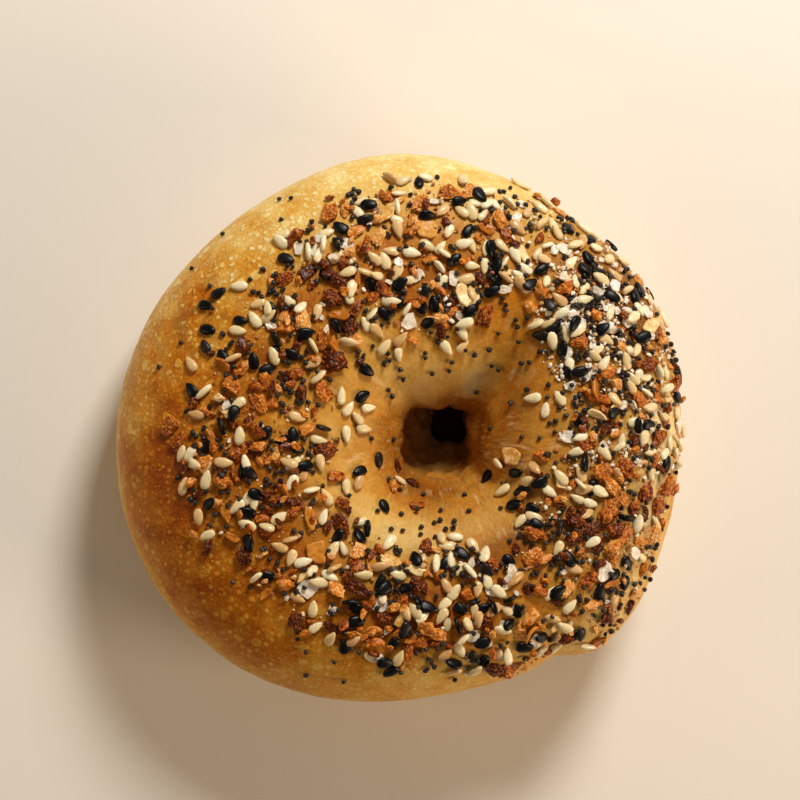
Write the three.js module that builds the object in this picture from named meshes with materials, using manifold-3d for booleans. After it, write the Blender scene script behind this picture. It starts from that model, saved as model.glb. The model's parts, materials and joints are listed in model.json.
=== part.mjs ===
// A baked everything bagel: one hand-rolled ring of dough, with the larger of its toppings
// stuck to the crust. The ring and the toppings are one solid.
// Millimetres and degrees. +Z is up, the ring lies flat on Z = 0, and the origin is the
// middle of its footprint.
// A place on the crust is two numbers: "around", the angle about the hole from +X, and
// "across", how far from the hole's rim (0) to the outline (1) it lies, seen from above.
import * as THREE from 'three';
import Module from 'manifold-3d';

const wasm = await Module();
wasm.setup();

// ---- The ring's driving dimensions ----

const OUTLINE_RADIUS = 52.8;        // mean radius of the outline, seen from above
const OUTLINE_CENTRE = [0.2, 0.2];
const HOLE_RADIUS = 7.1;            // at the waist, where the hole is narrowest
const HOLE_CENTRE = [6.65, -2.6];   // the hole lies off the middle
const CROWN = 36.3;                 // height of the top
const EQUATOR = 15.5;               // height where the ring is widest
const SECTION_POWER = 2.3;          // 2 is an ellipse, more is squarer
const SINK = 2.4;                   // how far the round section is pressed flat underneath
const FLAT_BLEND = 1.2;             // height over which the flat runs into the flank

// Slow waves that hand rolling leaves in the outline: waves round the ring, height, peak at.
const OUTLINE_WAVES = [
  [1, 1.4, -82], [2, 1.35, 15], [3, 0.87, -29], [4, 0.2, -44], [5, 0.54, 26], [6, 0.26, 23],
];

// The end of the rolled strip laps over its start and leaves a step in the outline.
const LAP = { start: 303, rise: 8, length: 38, height: 2.2 };
const LAP_CREASE = { at: 302, width: 4, depth: 0.9, from: 0.7 };

// The hole is a rounded square: its corners are where the dough folds.
const HOLE_SQUARE = 0.5;
const HOLE_CORNER = { at: 43, width: 12, height: 1.0 };
const FOLDS = [[46, 9], [130, 7], [222, 7], [322, 8]];   // at, width
const FOLD_DEPTH = 1.3;
const FOLD_REACH = 0.2;             // how far across a fold runs out

// Broad hollows and swellings of the top: around, width, across, width, height.
const SWELLS = [
  [50, 17, 0.16, 0.26, -2.6],       // the valley that runs out from the hole's corner
  [98, 24, 0.12, 0.2, 1.0],         // the roll of dough behind the hole
  [352, 24, 0.14, 0.22, 1.2],       // the roll to its right
  [262, 34, 0.2, 0.2, -0.7],        // the stretched dip in front of it
  [172, 30, 0.5, 0.3, 0.5],
  [18, 26, 0.62, 0.26, 0.5],
  [300, 22, 0.5, 0.3, -0.6],
];

// Low down inside the hole the dough spreads into a ledge, which leaves only a small gap: a
// rounded square as the hole is, but off to one corner.
const LEDGE = { section: 216, spread: 21 };
const GAP_RADIUS = 3.5;
const GAP_SQUARE = 0.35;
const GAP_CENTRE = [11.65, 0.7];

const COLUMNS = 60;                 // even steps round the ring
const LAP_STEPS = [0.25, 0.5, 0.75, 1];
const ROWS = 26;                    // steps round the section

// ---- Toppings: sizes, and how many of the largest are part of the solid ----

const SEED = 20261;
const SUNK = 0.55;                  // how deep a piece sits in the crust
const ONION = { count: 60, largest: 4.6, smallest: 2.7, flat: 0.66, high: 0.42, room: 0.86 };
const SALT = { count: 18, largest: 3.6, smallest: 2.4, flat: 0.75, high: 0.2, room: 0.8 };
const SESAME = { count: 74, long: 3.2, wide: 1.8, high: 0.95, room: 0.8 };
const BLACK_SESAME = { count: 42, long: 3.1, wide: 1.95, high: 0.9, room: 0.8 };
const FLATNESS_SPREAD = 0.25;       // how much crumbs and flakes differ in width
const SEED_SMALLEST = 0.88;         // seeds run from this size up by the spread
const SEED_SPREAD = 0.24;

// A piece's foot and top, for 1 of its outline, and how uneven its corners are in height.
const FORMS = {
  onion: { foot: 1.05, top: 0.66, rough: 0.8 },
  chip: { foot: 1, top: 0.92, rough: 0.5 },
  salt: { foot: 1, top: 0.88, rough: 0.3 },
  sesame: { foot: 1.05, top: 0.66 },
};
const CHIPPED = { sides: 5, askew: 0.5, smallest: 0.9, spread: 0.24 };
const SEED_CORNERS = [0, 65, 140, 220, 295];
const SEED_TAPER = 0.3;
const SEED_FULLNESS = 0.55;

// How the sprinkled band and the share of each kind change round the ring: a value, then
// around, width and how much more there.
const BAND = {
  inner: [0.32, [20, 35, 0.1], [60, 14, 0.22], [145, 30, 0.05], [240, 25, -0.04], [300, 12, 0.12],
    [325, 16, -0.15]],
  outer: [0.73, [28, 55, 0.32], [110, 25, 0.1], [190, 18, 0.07], [298, 34, 0.19]],
  cover: [0.76, [30, 45, 0.24], [90, 30, 0.2], [170, 25, -0.1], [215, 25, -0.1], [350, 18, -0.12]],
};
const BAND_EDGE = 0.1;
const SHARE = {
  onion: [0.6, [50, 38, -0.5], [120, 25, 0.15], [185, 40, 0.4], [245, 20, 0.3], [295, 18, -0.35],
    [340, 22, 0.35]],
  salt: [0.15, [35, 35, 0.85], [240, 25, 0.3], [320, 20, 0.25]],
  sesame: [0.45, [45, 35, 0.45], [100, 22, 0.3], [262, 30, 0.35], [305, 15, 0.15]],
  black: [0.48, [50, 28, 0.22], [85, 15, 0.15], [125, 20, 0.1], [165, 22, 0.2], [210, 18, -0.2],
    [275, 24, 0.7], [315, 15, 0.15]],
};

// The pieces that stand out from the rest: kind, around, across, long, wide, turned.
const LARGE_PIECES = [
  ['onion', 179, 0.82, 4.2, 3.0, 60], ['onion', 144, 0.37, 5.1, 4.0, -10],
  ['onion', 127, 0.54, 4.5, 3.3, -25], ['onion', 155, 0.67, 3.3, 2.4, -50],
  ['onion', 133, 0.71, 3.8, 2.5, 35], ['onion', 123, 0.81, 3.3, 2.7, 0],
  ['chip', 91, 0.68, 4.9, 3.8, -20], ['onion', 91, 0.77, 4.5, 2.4, 55],
  ['onion', 83, 0.82, 4.5, 3.1, 0], ['onion', 69, 0.38, 5.1, 2.9, 75],
  ['onion', 53, 0.58, 3.3, 2.5, -60], ['onion', 53, 0.49, 2.7, 2.2, 0],
  ['onion', 35, 0.65, 2.7, 2.4, -60], ['salt', 41, 0.58, 3.3, 2.9, 0],
  ['salt', 28, 0.77, 3.6, 2.9, 45], ['salt', 105, 0.34, 3.3, 3.1, 45],
  ['chip', 347, 0.15, 3.8, 3.6, 5], ['onion', 350, 0.26, 3.1, 2.0, -45],
  ['onion', 347, 0.52, 3.8, 3.5, 0], ['onion', 350, 0.63, 4.4, 3.1, -45],
  ['onion', 347, 0.85, 4.4, 3.6, -70], ['onion', 337, 0.6, 5.5, 3.6, 70],
  ['onion', 329, 0.47, 4.4, 2.9, -20], ['onion', 315, 0.35, 4.7, 3.1, -20],
  ['salt', 322, 0.69, 3.6, 3.1, 40], ['salt', 231, 0.59, 4.0, 3.5, 20],
  ['salt', 252, 0.54, 4.0, 2.7, -10], ['chip', 224, 0.47, 4.5, 4.0, -60],
  ['onion', 242, 0.5, 5.5, 2.7, -30], ['onion', 263, 0.45, 4.4, 3.3, -40],
  ['chip', 260, 0.38, 4.9, 2.7, -15], ['onion', 292, 0.39, 4.0, 2.5, -10],
  ['onion', 221, 0.34, 5.1, 2.7, -60], ['chip', 65, 0.97, 4.2, 1.8, -25],
  ['onion', 56, 0.99, 2.7, 2.2, 60], ['onion', 208, 0.77, 3.3, 2.0, 80],
];
const LARGE_ROOM = 0.8;
const LARGE_HIGH = { onion: 0.55, chip: 0.7, salt: 0.6 };   // onion: for 1 of its width

// ---- Small helpers ----

const DEGREE = Math.PI / 180;
const turn = (a, b) => ((a - b + 540) % 360) - 180;
const bump = (at, middle, width) => Math.exp(-((turn(at, middle) / width) ** 2));
const power = (value, exponent) => Math.sign(value) * Math.abs(value) ** exponent;

function smooth(from, to, value) {
  const share = Math.min(1, Math.max(0, (value - from) / (to - from)));
  return share * share * (3 - 2 * share);
}

// A value that changes round the ring, from a table of one value and its places.
function roundTheRing([value, ...places], around) {
  return places.reduce((sum, [at, width, more]) => sum + more * bump(around, at, width), value);
}

// A plain random draw between 0 and 1, the same on every run.
let drawn = SEED;
function draw() {
  drawn = (1664525 * drawn + 1013904223) % 4294967296;
  return drawn / 4294967296;
}

// ---- The ring ----

function outlineRadius(around) {
  let radius = OUTLINE_RADIUS;
  for (const [waves, height, peak] of OUTLINE_WAVES) {
    radius += height * Math.cos(waves * (around - peak) * DEGREE);
  }
  const past = (around - LAP.start + 360) % 360;
  return radius + LAP.height * smooth(0, LAP.rise, past) * (1 - smooth(LAP.rise, LAP.length, past));
}

function holeRadius(around) {
  const square = HOLE_SQUARE * Math.cos(4 * around * DEGREE);
  return HOLE_RADIUS - square + HOLE_CORNER.height * bump(around, HOLE_CORNER.at, HOLE_CORNER.width);
}

// Height of the crust's relief above the plain section, at an angle of the section.
function relief(around, across, section) {
  const upper = Math.max(0, Math.sin(section * DEGREE));
  const near = (at, width) => Math.exp(-(((across - at) / width) ** 2));
  let height = 0;
  for (const [at, width, out, spread, rise] of SWELLS) {
    height += rise * bump(around, at, width) * near(out, spread) * Math.sqrt(upper);
  }
  for (const [at, width] of FOLDS) {
    height -= FOLD_DEPTH * bump(around, at, width) * (1 - smooth(0, FOLD_REACH, across)) * upper;
  }
  const flank = smooth(LAP_CREASE.from, 1, across);
  return height - LAP_CREASE.depth * bump(around, LAP_CREASE.at, LAP_CREASE.width) * flank;
}

// A point at a radius from a centre, seen from above.
function about([x, y], radius, around) {
  return [x + radius * Math.cos(around * DEGREE), y + radius * Math.sin(around * DEGREE)];
}

// A point of the crust. The section's angle is 0 at the outline, 90 on top, 180 at the hole's
// waist and 270 underneath.
function crustPoint(around, section) {
  const out = power(Math.cos(section * DEGREE), 2 / SECTION_POWER);
  const up = power(Math.sin(section * DEGREE), 2 / SECTION_POWER);
  const across = (1 + out) / 2;
  const bulge = relief(around, across, section);
  const inner = about(HOLE_CENTRE, holeRadius(around), around);
  const outer = about(OUTLINE_CENTRE, outlineRadius(around), around);
  const gap = about(GAP_CENTRE, GAP_RADIUS - GAP_SQUARE * Math.cos(4 * around * DEGREE), around);
  const ledge = bump(section, LEDGE.section, LEDGE.spread);
  const sideways = about([0, 0], bulge * Math.cos(section * DEGREE), around);
  const [x, y] = [0, 1].map((axis) => {
    const plain = inner[axis] + (outer[axis] - inner[axis]) * across;
    return plain + (gap[axis] - plain) * ledge + sideways[axis];
  });
  const rise = up > 0 ? CROWN - EQUATOR : EQUATOR + SINK;
  return new THREE.Vector3(x, y, pressedFlat(EQUATOR + rise * up + bulge * Math.sin(section * DEGREE)));
}

// The tray presses everything below Z = 0 flat, with a short curve up into the flank.
function pressedFlat(height) {
  if (height > FLAT_BLEND) return height;
  if (height < -FLAT_BLEND) return 0;
  return (height + FLAT_BLEND) ** 2 / (4 * FLAT_BLEND);
}

// The section's angle on the top side, for a place across the ring.
function sectionAt(across) {
  const out = 2 * across - 1;
  return Math.acos(power(out, SECTION_POWER / 2)) / DEGREE;
}

// Where a piece sits: the point, the way out of the crust, and the crust's two directions.
function seat(around, across, turned) {
  const section = sectionAt(across);
  const step = 0.5;
  const origin = crustPoint(around, section);
  const along = crustPoint(around + step, section).sub(crustPoint(around - step, section));
  const over = crustPoint(around, section + step).sub(crustPoint(around, section - step));
  const out = along.cross(over).normalize();
  const heading = new THREE.Vector3(Math.cos(turned * DEGREE), Math.sin(turned * DEGREE), 0);
  const long = heading.addScaledVector(out, -heading.dot(out)).normalize();
  const wide = new THREE.Vector3().crossVectors(out, long);
  return { origin, out, long, wide };
}

// ---- Solids ----

function geometryOf(points, triangles) {
  const geometry = new THREE.BufferGeometry();
  geometry.setAttribute('position', new THREE.Float32BufferAttribute(points, 3));
  geometry.setIndex(triangles);
  return geometry;
}

function solidOf(geometry) {
  return new wasm.Manifold(new wasm.Mesh({
    numProp: 3,
    vertProperties: Float32Array.from(geometry.attributes.position.array),
    triVerts: Uint32Array.from(geometry.index.array),
  }));
}

// The ring's columns are evenly spread, with a few more where the outline steps at the lap.
function ringOfDough() {
  const even = Array.from({ length: COLUMNS }, (_, column) => (column * 360) / COLUMNS);
  const extra = LAP_STEPS.map((share) => LAP.start + share * LAP.rise);
  const columns = [...even, ...extra].sort((a, b) => a - b);
  const points = [];
  const triangles = [];
  columns.forEach((around, column) => {
    for (let row = 0; row < ROWS; row++) {
      points.push(...crustPoint(around, (row * 360) / ROWS).toArray());
      const next = (column + 1) % columns.length;
      const above = (row + 1) % ROWS;
      const corners = [[column, row], [next, row], [next, above], [column, above]];
      const [a, b, c, d] = corners.map(([i, j]) => i * ROWS + j);
      triangles.push(a, b, c, a, c, d);
    }
  });
  return geometryOf(points, triangles);
}

// A closed piece between a base and a top, each a height and a scale of the same outline. A
// corner of the outline may also lift or drop its point of the top.
function piece(place, outline, base, top) {
  const sides = outline.length;
  const points = [];
  const triangles = [];
  for (const [height, scale] of [base, top]) {
    for (const [u, v, lift = 1] of outline) {
      const point = place.origin.clone()
        .addScaledVector(place.long, u * scale)
        .addScaledVector(place.wide, v * scale)
        .addScaledVector(place.out, height > 0 ? height * lift : height);
      points.push(...point.toArray());
    }
  }
  for (let side = 0; side < sides; side++) {
    const next = (side + 1) % sides;
    triangles.push(side, next, sides + next, side, sides + next, sides + side);
  }
  for (let side = 1; side + 1 < sides; side++) {
    triangles.push(0, side + 1, side, sides, sides + side, sides + side + 1);
  }
  return geometryOf(points, triangles);
}

// A chipped outline, whose corners are also uneven in height.
function chipped(long, wide, rough) {
  const outline = [];
  for (let side = 0; side < CHIPPED.sides; side++) {
    const angle = (360 / CHIPPED.sides) * (side + CHIPPED.askew * (draw() - 0.5));
    const size = 0.5 * (CHIPPED.smallest + CHIPPED.spread * draw());
    const lift = 1 + rough * (draw() - 0.5);
    outline.push([...about([0, 0], size, angle), lift]);
  }
  return outline.map(([u, v, lift]) => [long * u, wide * v, lift]);
}

// The outline of a sesame seed: round at one end and drawn to a point at the other.
function seedOutline(long, wide) {
  return SEED_CORNERS.map((angle) => {
    const taper = 1 - SEED_TAPER * Math.cos(angle * DEGREE);
    const half = SEED_FULLNESS * wide * taper;
    return [0.5 * long * Math.cos(angle * DEGREE), half * Math.sin(angle * DEGREE)];
  });
}

function topping(kind, place, long, wide, high) {
  const { foot, top, rough } = FORMS[kind];
  const outline = kind === 'sesame' ? seedOutline(long, wide) : chipped(long, wide, rough);
  return piece(place, outline, [-SUNK, foot], [high, top]);
}

// ---- Where the toppings lie ----

// The sprinkled band runs round the top, and is widest and closest on the right.
function bandCover(around, across) {
  const inner = roundTheRing(BAND.inner, around);
  const outer = roundTheRing(BAND.outer, around);
  const past = smooth(inner - BAND_EDGE, inner + BAND_EDGE, across);
  const inside = past * (1 - smooth(outer - BAND_EDGE, outer + BAND_EDGE / 2, across));
  const spread = (HOLE_RADIUS + across * (OUTLINE_RADIUS - HOLE_RADIUS)) / OUTLINE_RADIUS;
  return inside * spread * roundTheRing(BAND.cover, around);
}

const taken = [];

// Calls put(place, share) at count places of the band, none nearer than room to another.
function scatter(kind, count, roomAt, put) {
  let placed = 0;
  while (placed < count) {
    const around = 360 * draw();
    const across = draw();
    const kept = draw() < bandCover(around, across) * roundTheRing(SHARE[kind], around);
    const room = roomAt(placed / count);
    const point = crustPoint(around, sectionAt(across));
    const near = (other) => other.point.distanceTo(point) < 0.5 * (room + other.room);
    if (!kept || taken.some(near)) continue;
    taken.push({ point, room });
    put(seat(around, across, 360 * draw()), placed / count);
    placed += 1;
  }
}

function largePieces() {
  const pieces = [];
  for (const [kind, around, across, long, wide, turned] of LARGE_PIECES) {
    const place = seat(around, across, turned);
    const high = LARGE_HIGH[kind] * (kind === 'onion' ? wide : 1);
    taken.push({ point: place.origin, room: LARGE_ROOM * long });
    pieces.push(topping(kind, place, long, wide, high));
  }
  return pieces;
}

// Pieces that get smaller from the first to the last, as crumbs and flakes are uneven.
function uneven(kind, sizes) {
  const pieces = [];
  const longAt = (share) => sizes.largest + (sizes.smallest - sizes.largest) * share;
  scatter(kind, sizes.count, (share) => sizes.room * longAt(share), (place, share) => {
    const long = longAt(share);
    const wide = long * (sizes.flat + FLATNESS_SPREAD * (draw() - 0.5));
    pieces.push(topping(kind, place, long, wide, sizes.high * wide));
  });
  return pieces;
}

// Seeds are much alike, and lie at any turn.
function seeds(kind, sizes) {
  const pieces = [];
  scatter(kind, sizes.count, () => sizes.room * sizes.long, (place) => {
    const size = SEED_SMALLEST + SEED_SPREAD * draw();
    const [long, wide, high] = [sizes.long, sizes.wide, sizes.high].map((length) => size * length);
    pieces.push(topping('sesame', place, long, wide, high));
  });
  return pieces;
}

const toppings = [
  ...largePieces(),
  ...uneven('onion', ONION),
  ...uneven('salt', SALT),
  ...seeds('sesame', SESAME),
  ...seeds('black', BLACK_SESAME),
];

// ---- Joined into one solid ----

// Fusing can leave a loose scrap or seal a small hollow, so only the largest body is kept.
const FINEST = 0.02;
const fused = wasm.Manifold.union([ringOfDough(), ...toppings].map(solidOf)).simplify(FINEST);
const bodies = fused.decompose().sort((a, b) => b.volume() - a.volume());
const joined = bodies[0].getMesh();

const crust = new THREE.MeshStandardMaterial({ color: '#c58a3e', roughness: 0.5, metalness: 0 });
const bagel = new THREE.Mesh(
  geometryOf(Array.from(joined.vertProperties), Array.from(joined.triVerts)),
  crust,
);
bagel.name = 'bagel';

const object = new THREE.Group();
object.add(bagel);

export default object;
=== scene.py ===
# %% [markdown]
# # An everything bagel
# A bagel is a hand-rolled ring of dough, boiled and then baked. Boiling sets a thin, smooth
# skin that blisters and turns from straw to amber in the oven. While it is wet, one side is
# pressed into a mix of sesame, poppy seed, toasted onion, garlic and coarse salt.
# This lesson builds the crust first, then one kind of topping after another. The CAD solid is
# loaded as a frame, and everything here is made at the same place and size.

# %% Load the frame
import json
import math

import bmesh
import bpy
import numpy as np
from mathutils import Matrix, Vector, noise

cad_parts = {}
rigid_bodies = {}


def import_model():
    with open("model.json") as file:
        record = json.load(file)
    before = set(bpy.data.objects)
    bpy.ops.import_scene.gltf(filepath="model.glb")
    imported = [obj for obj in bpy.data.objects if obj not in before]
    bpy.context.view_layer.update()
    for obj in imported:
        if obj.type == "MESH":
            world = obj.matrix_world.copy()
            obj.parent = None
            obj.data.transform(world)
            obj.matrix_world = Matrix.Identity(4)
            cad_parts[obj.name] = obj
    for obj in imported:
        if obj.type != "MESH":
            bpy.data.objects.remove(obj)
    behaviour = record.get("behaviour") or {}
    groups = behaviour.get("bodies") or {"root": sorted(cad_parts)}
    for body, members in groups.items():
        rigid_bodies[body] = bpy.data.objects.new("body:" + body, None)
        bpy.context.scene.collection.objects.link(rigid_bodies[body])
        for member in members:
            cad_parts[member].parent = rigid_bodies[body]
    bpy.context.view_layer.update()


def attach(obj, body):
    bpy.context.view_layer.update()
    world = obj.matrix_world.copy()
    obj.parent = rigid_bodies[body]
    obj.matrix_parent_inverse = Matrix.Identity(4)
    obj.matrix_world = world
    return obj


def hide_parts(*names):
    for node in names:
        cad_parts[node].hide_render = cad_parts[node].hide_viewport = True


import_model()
MM = 0.001

# %% [markdown]
# ## The shape of the ring
# A place on the crust is given by two angles: `around` the hole, and `section` round the
# dough, which is 0 at the outline, 90 on top, 180 at the hole's waist and 270 underneath.
# The same named sizes as in the CAD source are repeated here, in millimetres, so that the
# fine crust lies exactly where the solid is.

# %% Named sizes of the ring
OUTLINE_RADIUS = 52.8
OUTLINE_CENTRE = (0.2, 0.2)
HOLE_RADIUS = 7.1
HOLE_CENTRE = (6.65, -2.6)
CROWN = 36.3
EQUATOR = 15.5
SECTION_POWER = 2.3
SINK = 2.4
FLAT_BLEND = 1.2
OUTLINE_WAVES = [
    (1, 1.4, -82), (2, 1.35, 15), (3, 0.87, -29), (4, 0.2, -44), (5, 0.54, 26), (6, 0.26, 23),
]
LAP = {"start": 303, "rise": 8, "length": 38, "height": 2.2}
LAP_CREASE = {"at": 302, "width": 4, "depth": 0.9, "from": 0.7}
HOLE_SQUARE = 0.5
HOLE_CORNER = {"at": 43, "width": 12, "height": 1.0}
FOLDS = [(46, 9), (130, 7), (222, 7), (322, 8)]
FOLD_DEPTH = 1.3
FOLD_REACH = 0.2
SWELLS = [
    (50, 17, 0.16, 0.26, -2.6),
    (98, 24, 0.12, 0.2, 1.0),
    (352, 24, 0.14, 0.22, 1.2),
    (262, 34, 0.2, 0.2, -0.7),
    (172, 30, 0.5, 0.3, 0.5),
    (18, 26, 0.62, 0.26, 0.5),
    (300, 22, 0.5, 0.3, -0.6),
]
LEDGE = {"section": 216, "spread": 21}
GAP_RADIUS = 3.5                    # the ledge low down in the hole leaves only this gap
GAP_SQUARE = 0.35
GAP_CENTRE = (11.65, 0.7)
print("ring", 2 * OUTLINE_RADIUS, "mm across, hole", 2 * HOLE_RADIUS, "mm, crown", CROWN, "mm")

# %% Small functions for shapes
DEGREE = math.pi / 180


def smooth(low, high, value):
    """0 below low, 1 above high, and an easy curve between."""
    share = np.clip((value - low) / (high - low), 0, 1)
    return share * share * (3 - 2 * share)


def bump(at, middle, width):
    """1 at an angle, falling off over width degrees to each side."""
    return np.exp(-((((at - middle + 180) % 360) - 180) / width) ** 2)


def power(value, exponent):
    """A power that keeps the sign."""
    return np.sign(value) * np.abs(value) ** exponent


# %% A point of the crust
def outline_radius(around):
    radius = OUTLINE_RADIUS
    for waves, height, peak in OUTLINE_WAVES:
        radius = radius + height * np.cos(waves * (around - peak) * DEGREE)
    past = (around - LAP["start"]) % 360
    rise = smooth(0, LAP["rise"], past) * (1 - smooth(LAP["rise"], LAP["length"], past))
    return radius + LAP["height"] * rise


def hole_radius(around):
    corner = HOLE_CORNER["height"] * bump(around, HOLE_CORNER["at"], HOLE_CORNER["width"])
    return HOLE_RADIUS - HOLE_SQUARE * np.cos(4 * around * DEGREE) + corner


def relief(around, across, section):
    """Height of the broad hollows, swellings and folds above the plain section."""
    upper = np.maximum(0, np.sin(section * DEGREE))
    height = 0
    for at, width, out, spread, rise in SWELLS:
        near = np.exp(-(((across - out) / spread) ** 2))
        height = height + rise * bump(around, at, width) * near * np.sqrt(upper)
    for at, width in FOLDS:
        rim = (1 - smooth(0, FOLD_REACH, across)) * upper
        height = height - FOLD_DEPTH * bump(around, at, width) * rim
    crease = bump(around, LAP_CREASE["at"], LAP_CREASE["width"])
    return height - LAP_CREASE["depth"] * crease * smooth(LAP_CREASE["from"], 1, across)


def crust_point(around, section):
    """Points of the crust in millimetres, for angles in degrees."""
    out = power(np.cos(section * DEGREE), 2 / SECTION_POWER)
    up = power(np.sin(section * DEGREE), 2 / SECTION_POWER)
    across = (1 + out) / 2
    bulge = relief(around, across, section)
    ledge = bump(section, LEDGE["section"], LEDGE["spread"])
    gap_radius = GAP_RADIUS - GAP_SQUARE * np.cos(4 * around * DEGREE)
    xy = []
    for axis, way in enumerate((np.cos(around * DEGREE), np.sin(around * DEGREE))):
        inner = HOLE_CENTRE[axis] + hole_radius(around) * way
        outer = OUTLINE_CENTRE[axis] + outline_radius(around) * way
        plain = inner + (outer - inner) * across
        gap = GAP_CENTRE[axis] + gap_radius * way
        xy.append(plain + (gap - plain) * ledge + bulge * np.cos(section * DEGREE) * way)
    rise = np.where(up > 0, CROWN - EQUATOR, EQUATOR + SINK)
    z = EQUATOR + rise * up + bulge * np.sin(section * DEGREE)
    eased = (np.maximum(z, -FLAT_BLEND) + FLAT_BLEND) ** 2 / (4 * FLAT_BLEND)
    return np.stack([*xy, np.where(z > FLAT_BLEND, z, eased)], -1)


def section_at(across):
    """The section's angle on the top side, for a share across the ring."""
    return np.arccos(power(2 * across - 1, SECTION_POWER / 2)) / DEGREE


print("height of the crown to the left:", round(float(crust_point(180.0, 90.0)[2]), 1), "mm")

# %% [markdown]
# ## Helpers for nodes, colours and meshes
# One function adds any node, with its settings and links, for geometry and for shaders alike. A
# node that is given as an input is linked by the first of its outputs that is in use.
# Colours are written as sRGB hex, as a paint chart gives them, and turned to linear once.

# %% The kinds of node used most
MATH, VECTOR_MATH, MAP = "ShaderNodeMath", "ShaderNodeVectorMath", "ShaderNodeMapRange"
NOISE, CELLS = "ShaderNodeTexNoise", "ShaderNodeTexVoronoi"
MIX, RAMP, BUMP = "ShaderNodeMix", "ShaderNodeValToRGB", "ShaderNodeBump"
ATTRIBUTE, COORDINATES = "ShaderNodeAttribute", "ShaderNodeTexCoord"
NAMED, POSITION = "GeometryNodeInputNamedAttribute", "GeometryNodeInputPosition"


# %% Nodes, colours and meshes
def colour(code):
    """An sRGB hex colour as linear RGBA."""
    parts = [int(code[i:i + 2], 16) / 255 for i in (1, 3, 5)]
    return (*[p / 12.92 if p <= 0.04045 else ((p + 0.055) / 1.055) ** 2.4 for p in parts], 1)


def connect(tree, node, inputs):
    """Sets inputs, in order or by name, to values, or links them to nodes or sockets."""
    if not isinstance(inputs, dict):
        inputs = dict(enumerate(inputs))
    for key, value in inputs.items():
        if isinstance(value, bpy.types.Node):
            value = next(socket for socket in value.outputs if socket.enabled)
        if isinstance(value, bpy.types.NodeSocket):
            tree.links.new(value, node.inputs[key])
        else:
            node.inputs[key].default_value = value


def add(tree, kind, inputs=(), stops=(), **settings):
    """Adds a node with its settings, its inputs and, for a colour ramp, its (place, hex) stops."""
    node = tree.nodes.new(kind)
    for name, value in settings.items():
        setattr(node, name, value)
    connect(tree, node, inputs)
    while stops and len(node.color_ramp.elements) < len(stops):
        node.color_ramp.elements.new(0.5)
    for number, (place, code) in enumerate(stops):
        element = node.color_ramp.elements[number]
        element.position = place
        element.color = colour(code)
    return node


def new_object(name, points, faces, smooth_faces=True):
    """A mesh object at the origin, from points in millimetres."""
    mesh = bpy.data.meshes.new(name)
    mesh.from_pydata((np.asarray(points) * MM).tolist(), [], faces)
    mesh.polygons.foreach_set("use_smooth", [smooth_faces] * len(mesh.polygons))
    mesh.update()
    made = bpy.data.objects.new(name, mesh)
    bpy.context.scene.collection.objects.link(made)
    return made


def store(made, name, values, data_type="FLOAT", field="value"):
    """Keeps a value for each point of a mesh, as an attribute."""
    stored = made.data.attributes.new(name, data_type, "POINT")
    number = np.int32 if data_type == "INT" else np.float32
    stored.data.foreach_set(field, np.array(values, number).ravel())


def new_material(name):
    """A node material with its Principled shader, ready for inputs."""
    material = bpy.data.materials.new(name)
    material.use_nodes = True
    tree = material.node_tree
    return material, tree, tree.nodes["Principled BSDF"]


# %% Trees of geometry nodes
def new_tree(name, sockets):
    """An empty tree with a geometry in and out and named inputs (name, socket type, default)."""
    tree = bpy.data.node_groups.new(name, "GeometryNodeTree")
    tree.interface.new_socket("Geometry", in_out="INPUT", socket_type="NodeSocketGeometry")
    tree.interface.new_socket("Geometry", in_out="OUTPUT", socket_type="NodeSocketGeometry")
    for label, kind, default in sockets:
        socket = tree.interface.new_socket(label, in_out="INPUT", socket_type=kind)
        if default is not None:
            socket.default_value = default
    return tree, add(tree, "NodeGroupInput"), add(tree, "NodeGroupOutput")


def apply_tree(made, tree, values):
    """Runs a tree on an object, with inputs by name, and keeps the result as a plain mesh."""
    modifier = made.modifiers.new(tree.name, "NODES")
    modifier.node_group = tree
    for item in tree.interface.items_tree:
        if item.in_out == "INPUT" and item.name in values:
            modifier[item.identifier] = values[item.name]
    bpy.context.view_layer.update()
    evaluated = made.evaluated_get(bpy.context.evaluated_depsgraph_get())
    mesh = bpy.data.meshes.new_from_object(evaluated)
    made.modifiers.remove(modifier)
    old = made.data
    made.data = mesh
    bpy.data.meshes.remove(old)
    mesh.name = made.name


print("linear value of a middle grey:", round(colour("#808080")[0], 3))

# %% [markdown]
# ## The crust
# The ring follows a rule, so its mesh is worked out from the function above, in columns round
# the hole and rows round the section. With the points it stores what the oven did there, and
# where light and shade are painted in: `bake`, how brown it is, darker where shade is painted
# and paler where light is painted, `blister`, how blistered the skin is, `dull`, how much of the
# glaze is missing, `stretch`, how far the dough was pulled, and `strand`, a space that runs with
# the pull. `ledge` and `rim` mark two places inside the hole.

# %% The fine ring
COLUMNS = 430
ROWS = 230
ROWS_EASE = 0.22                    # how much further apart the rows are on top than underneath

steps = np.arange(ROWS) * 360 / ROWS
sections = steps - 0.5 * ROWS_EASE * np.cos(steps * DEGREE) / DEGREE
sections = sections - sections[0]
arounds = np.arange(COLUMNS) * 360 / COLUMNS
around_grid, section_grid = np.meshgrid(arounds, sections, indexing="ij")
ring_points = crust_point(around_grid, section_grid).reshape(-1, 3)
column, row = np.meshgrid(np.arange(COLUMNS), np.arange(ROWS), indexing="ij")
next_column, next_row = (column + 1) % COLUMNS, (row + 1) % ROWS
ring_faces = np.stack([
    column * ROWS + row, next_column * ROWS + row,
    next_column * ROWS + next_row, column * ROWS + next_row,
], -1).reshape(-1, 4)
bread = new_object("bagel_crust", ring_points, ring_faces.tolist())
print("crust:", len(ring_points), "points, row spacing on top",
      round(float(np.linalg.norm(ring_points[60] - ring_points[59])), 2), "mm")
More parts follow.
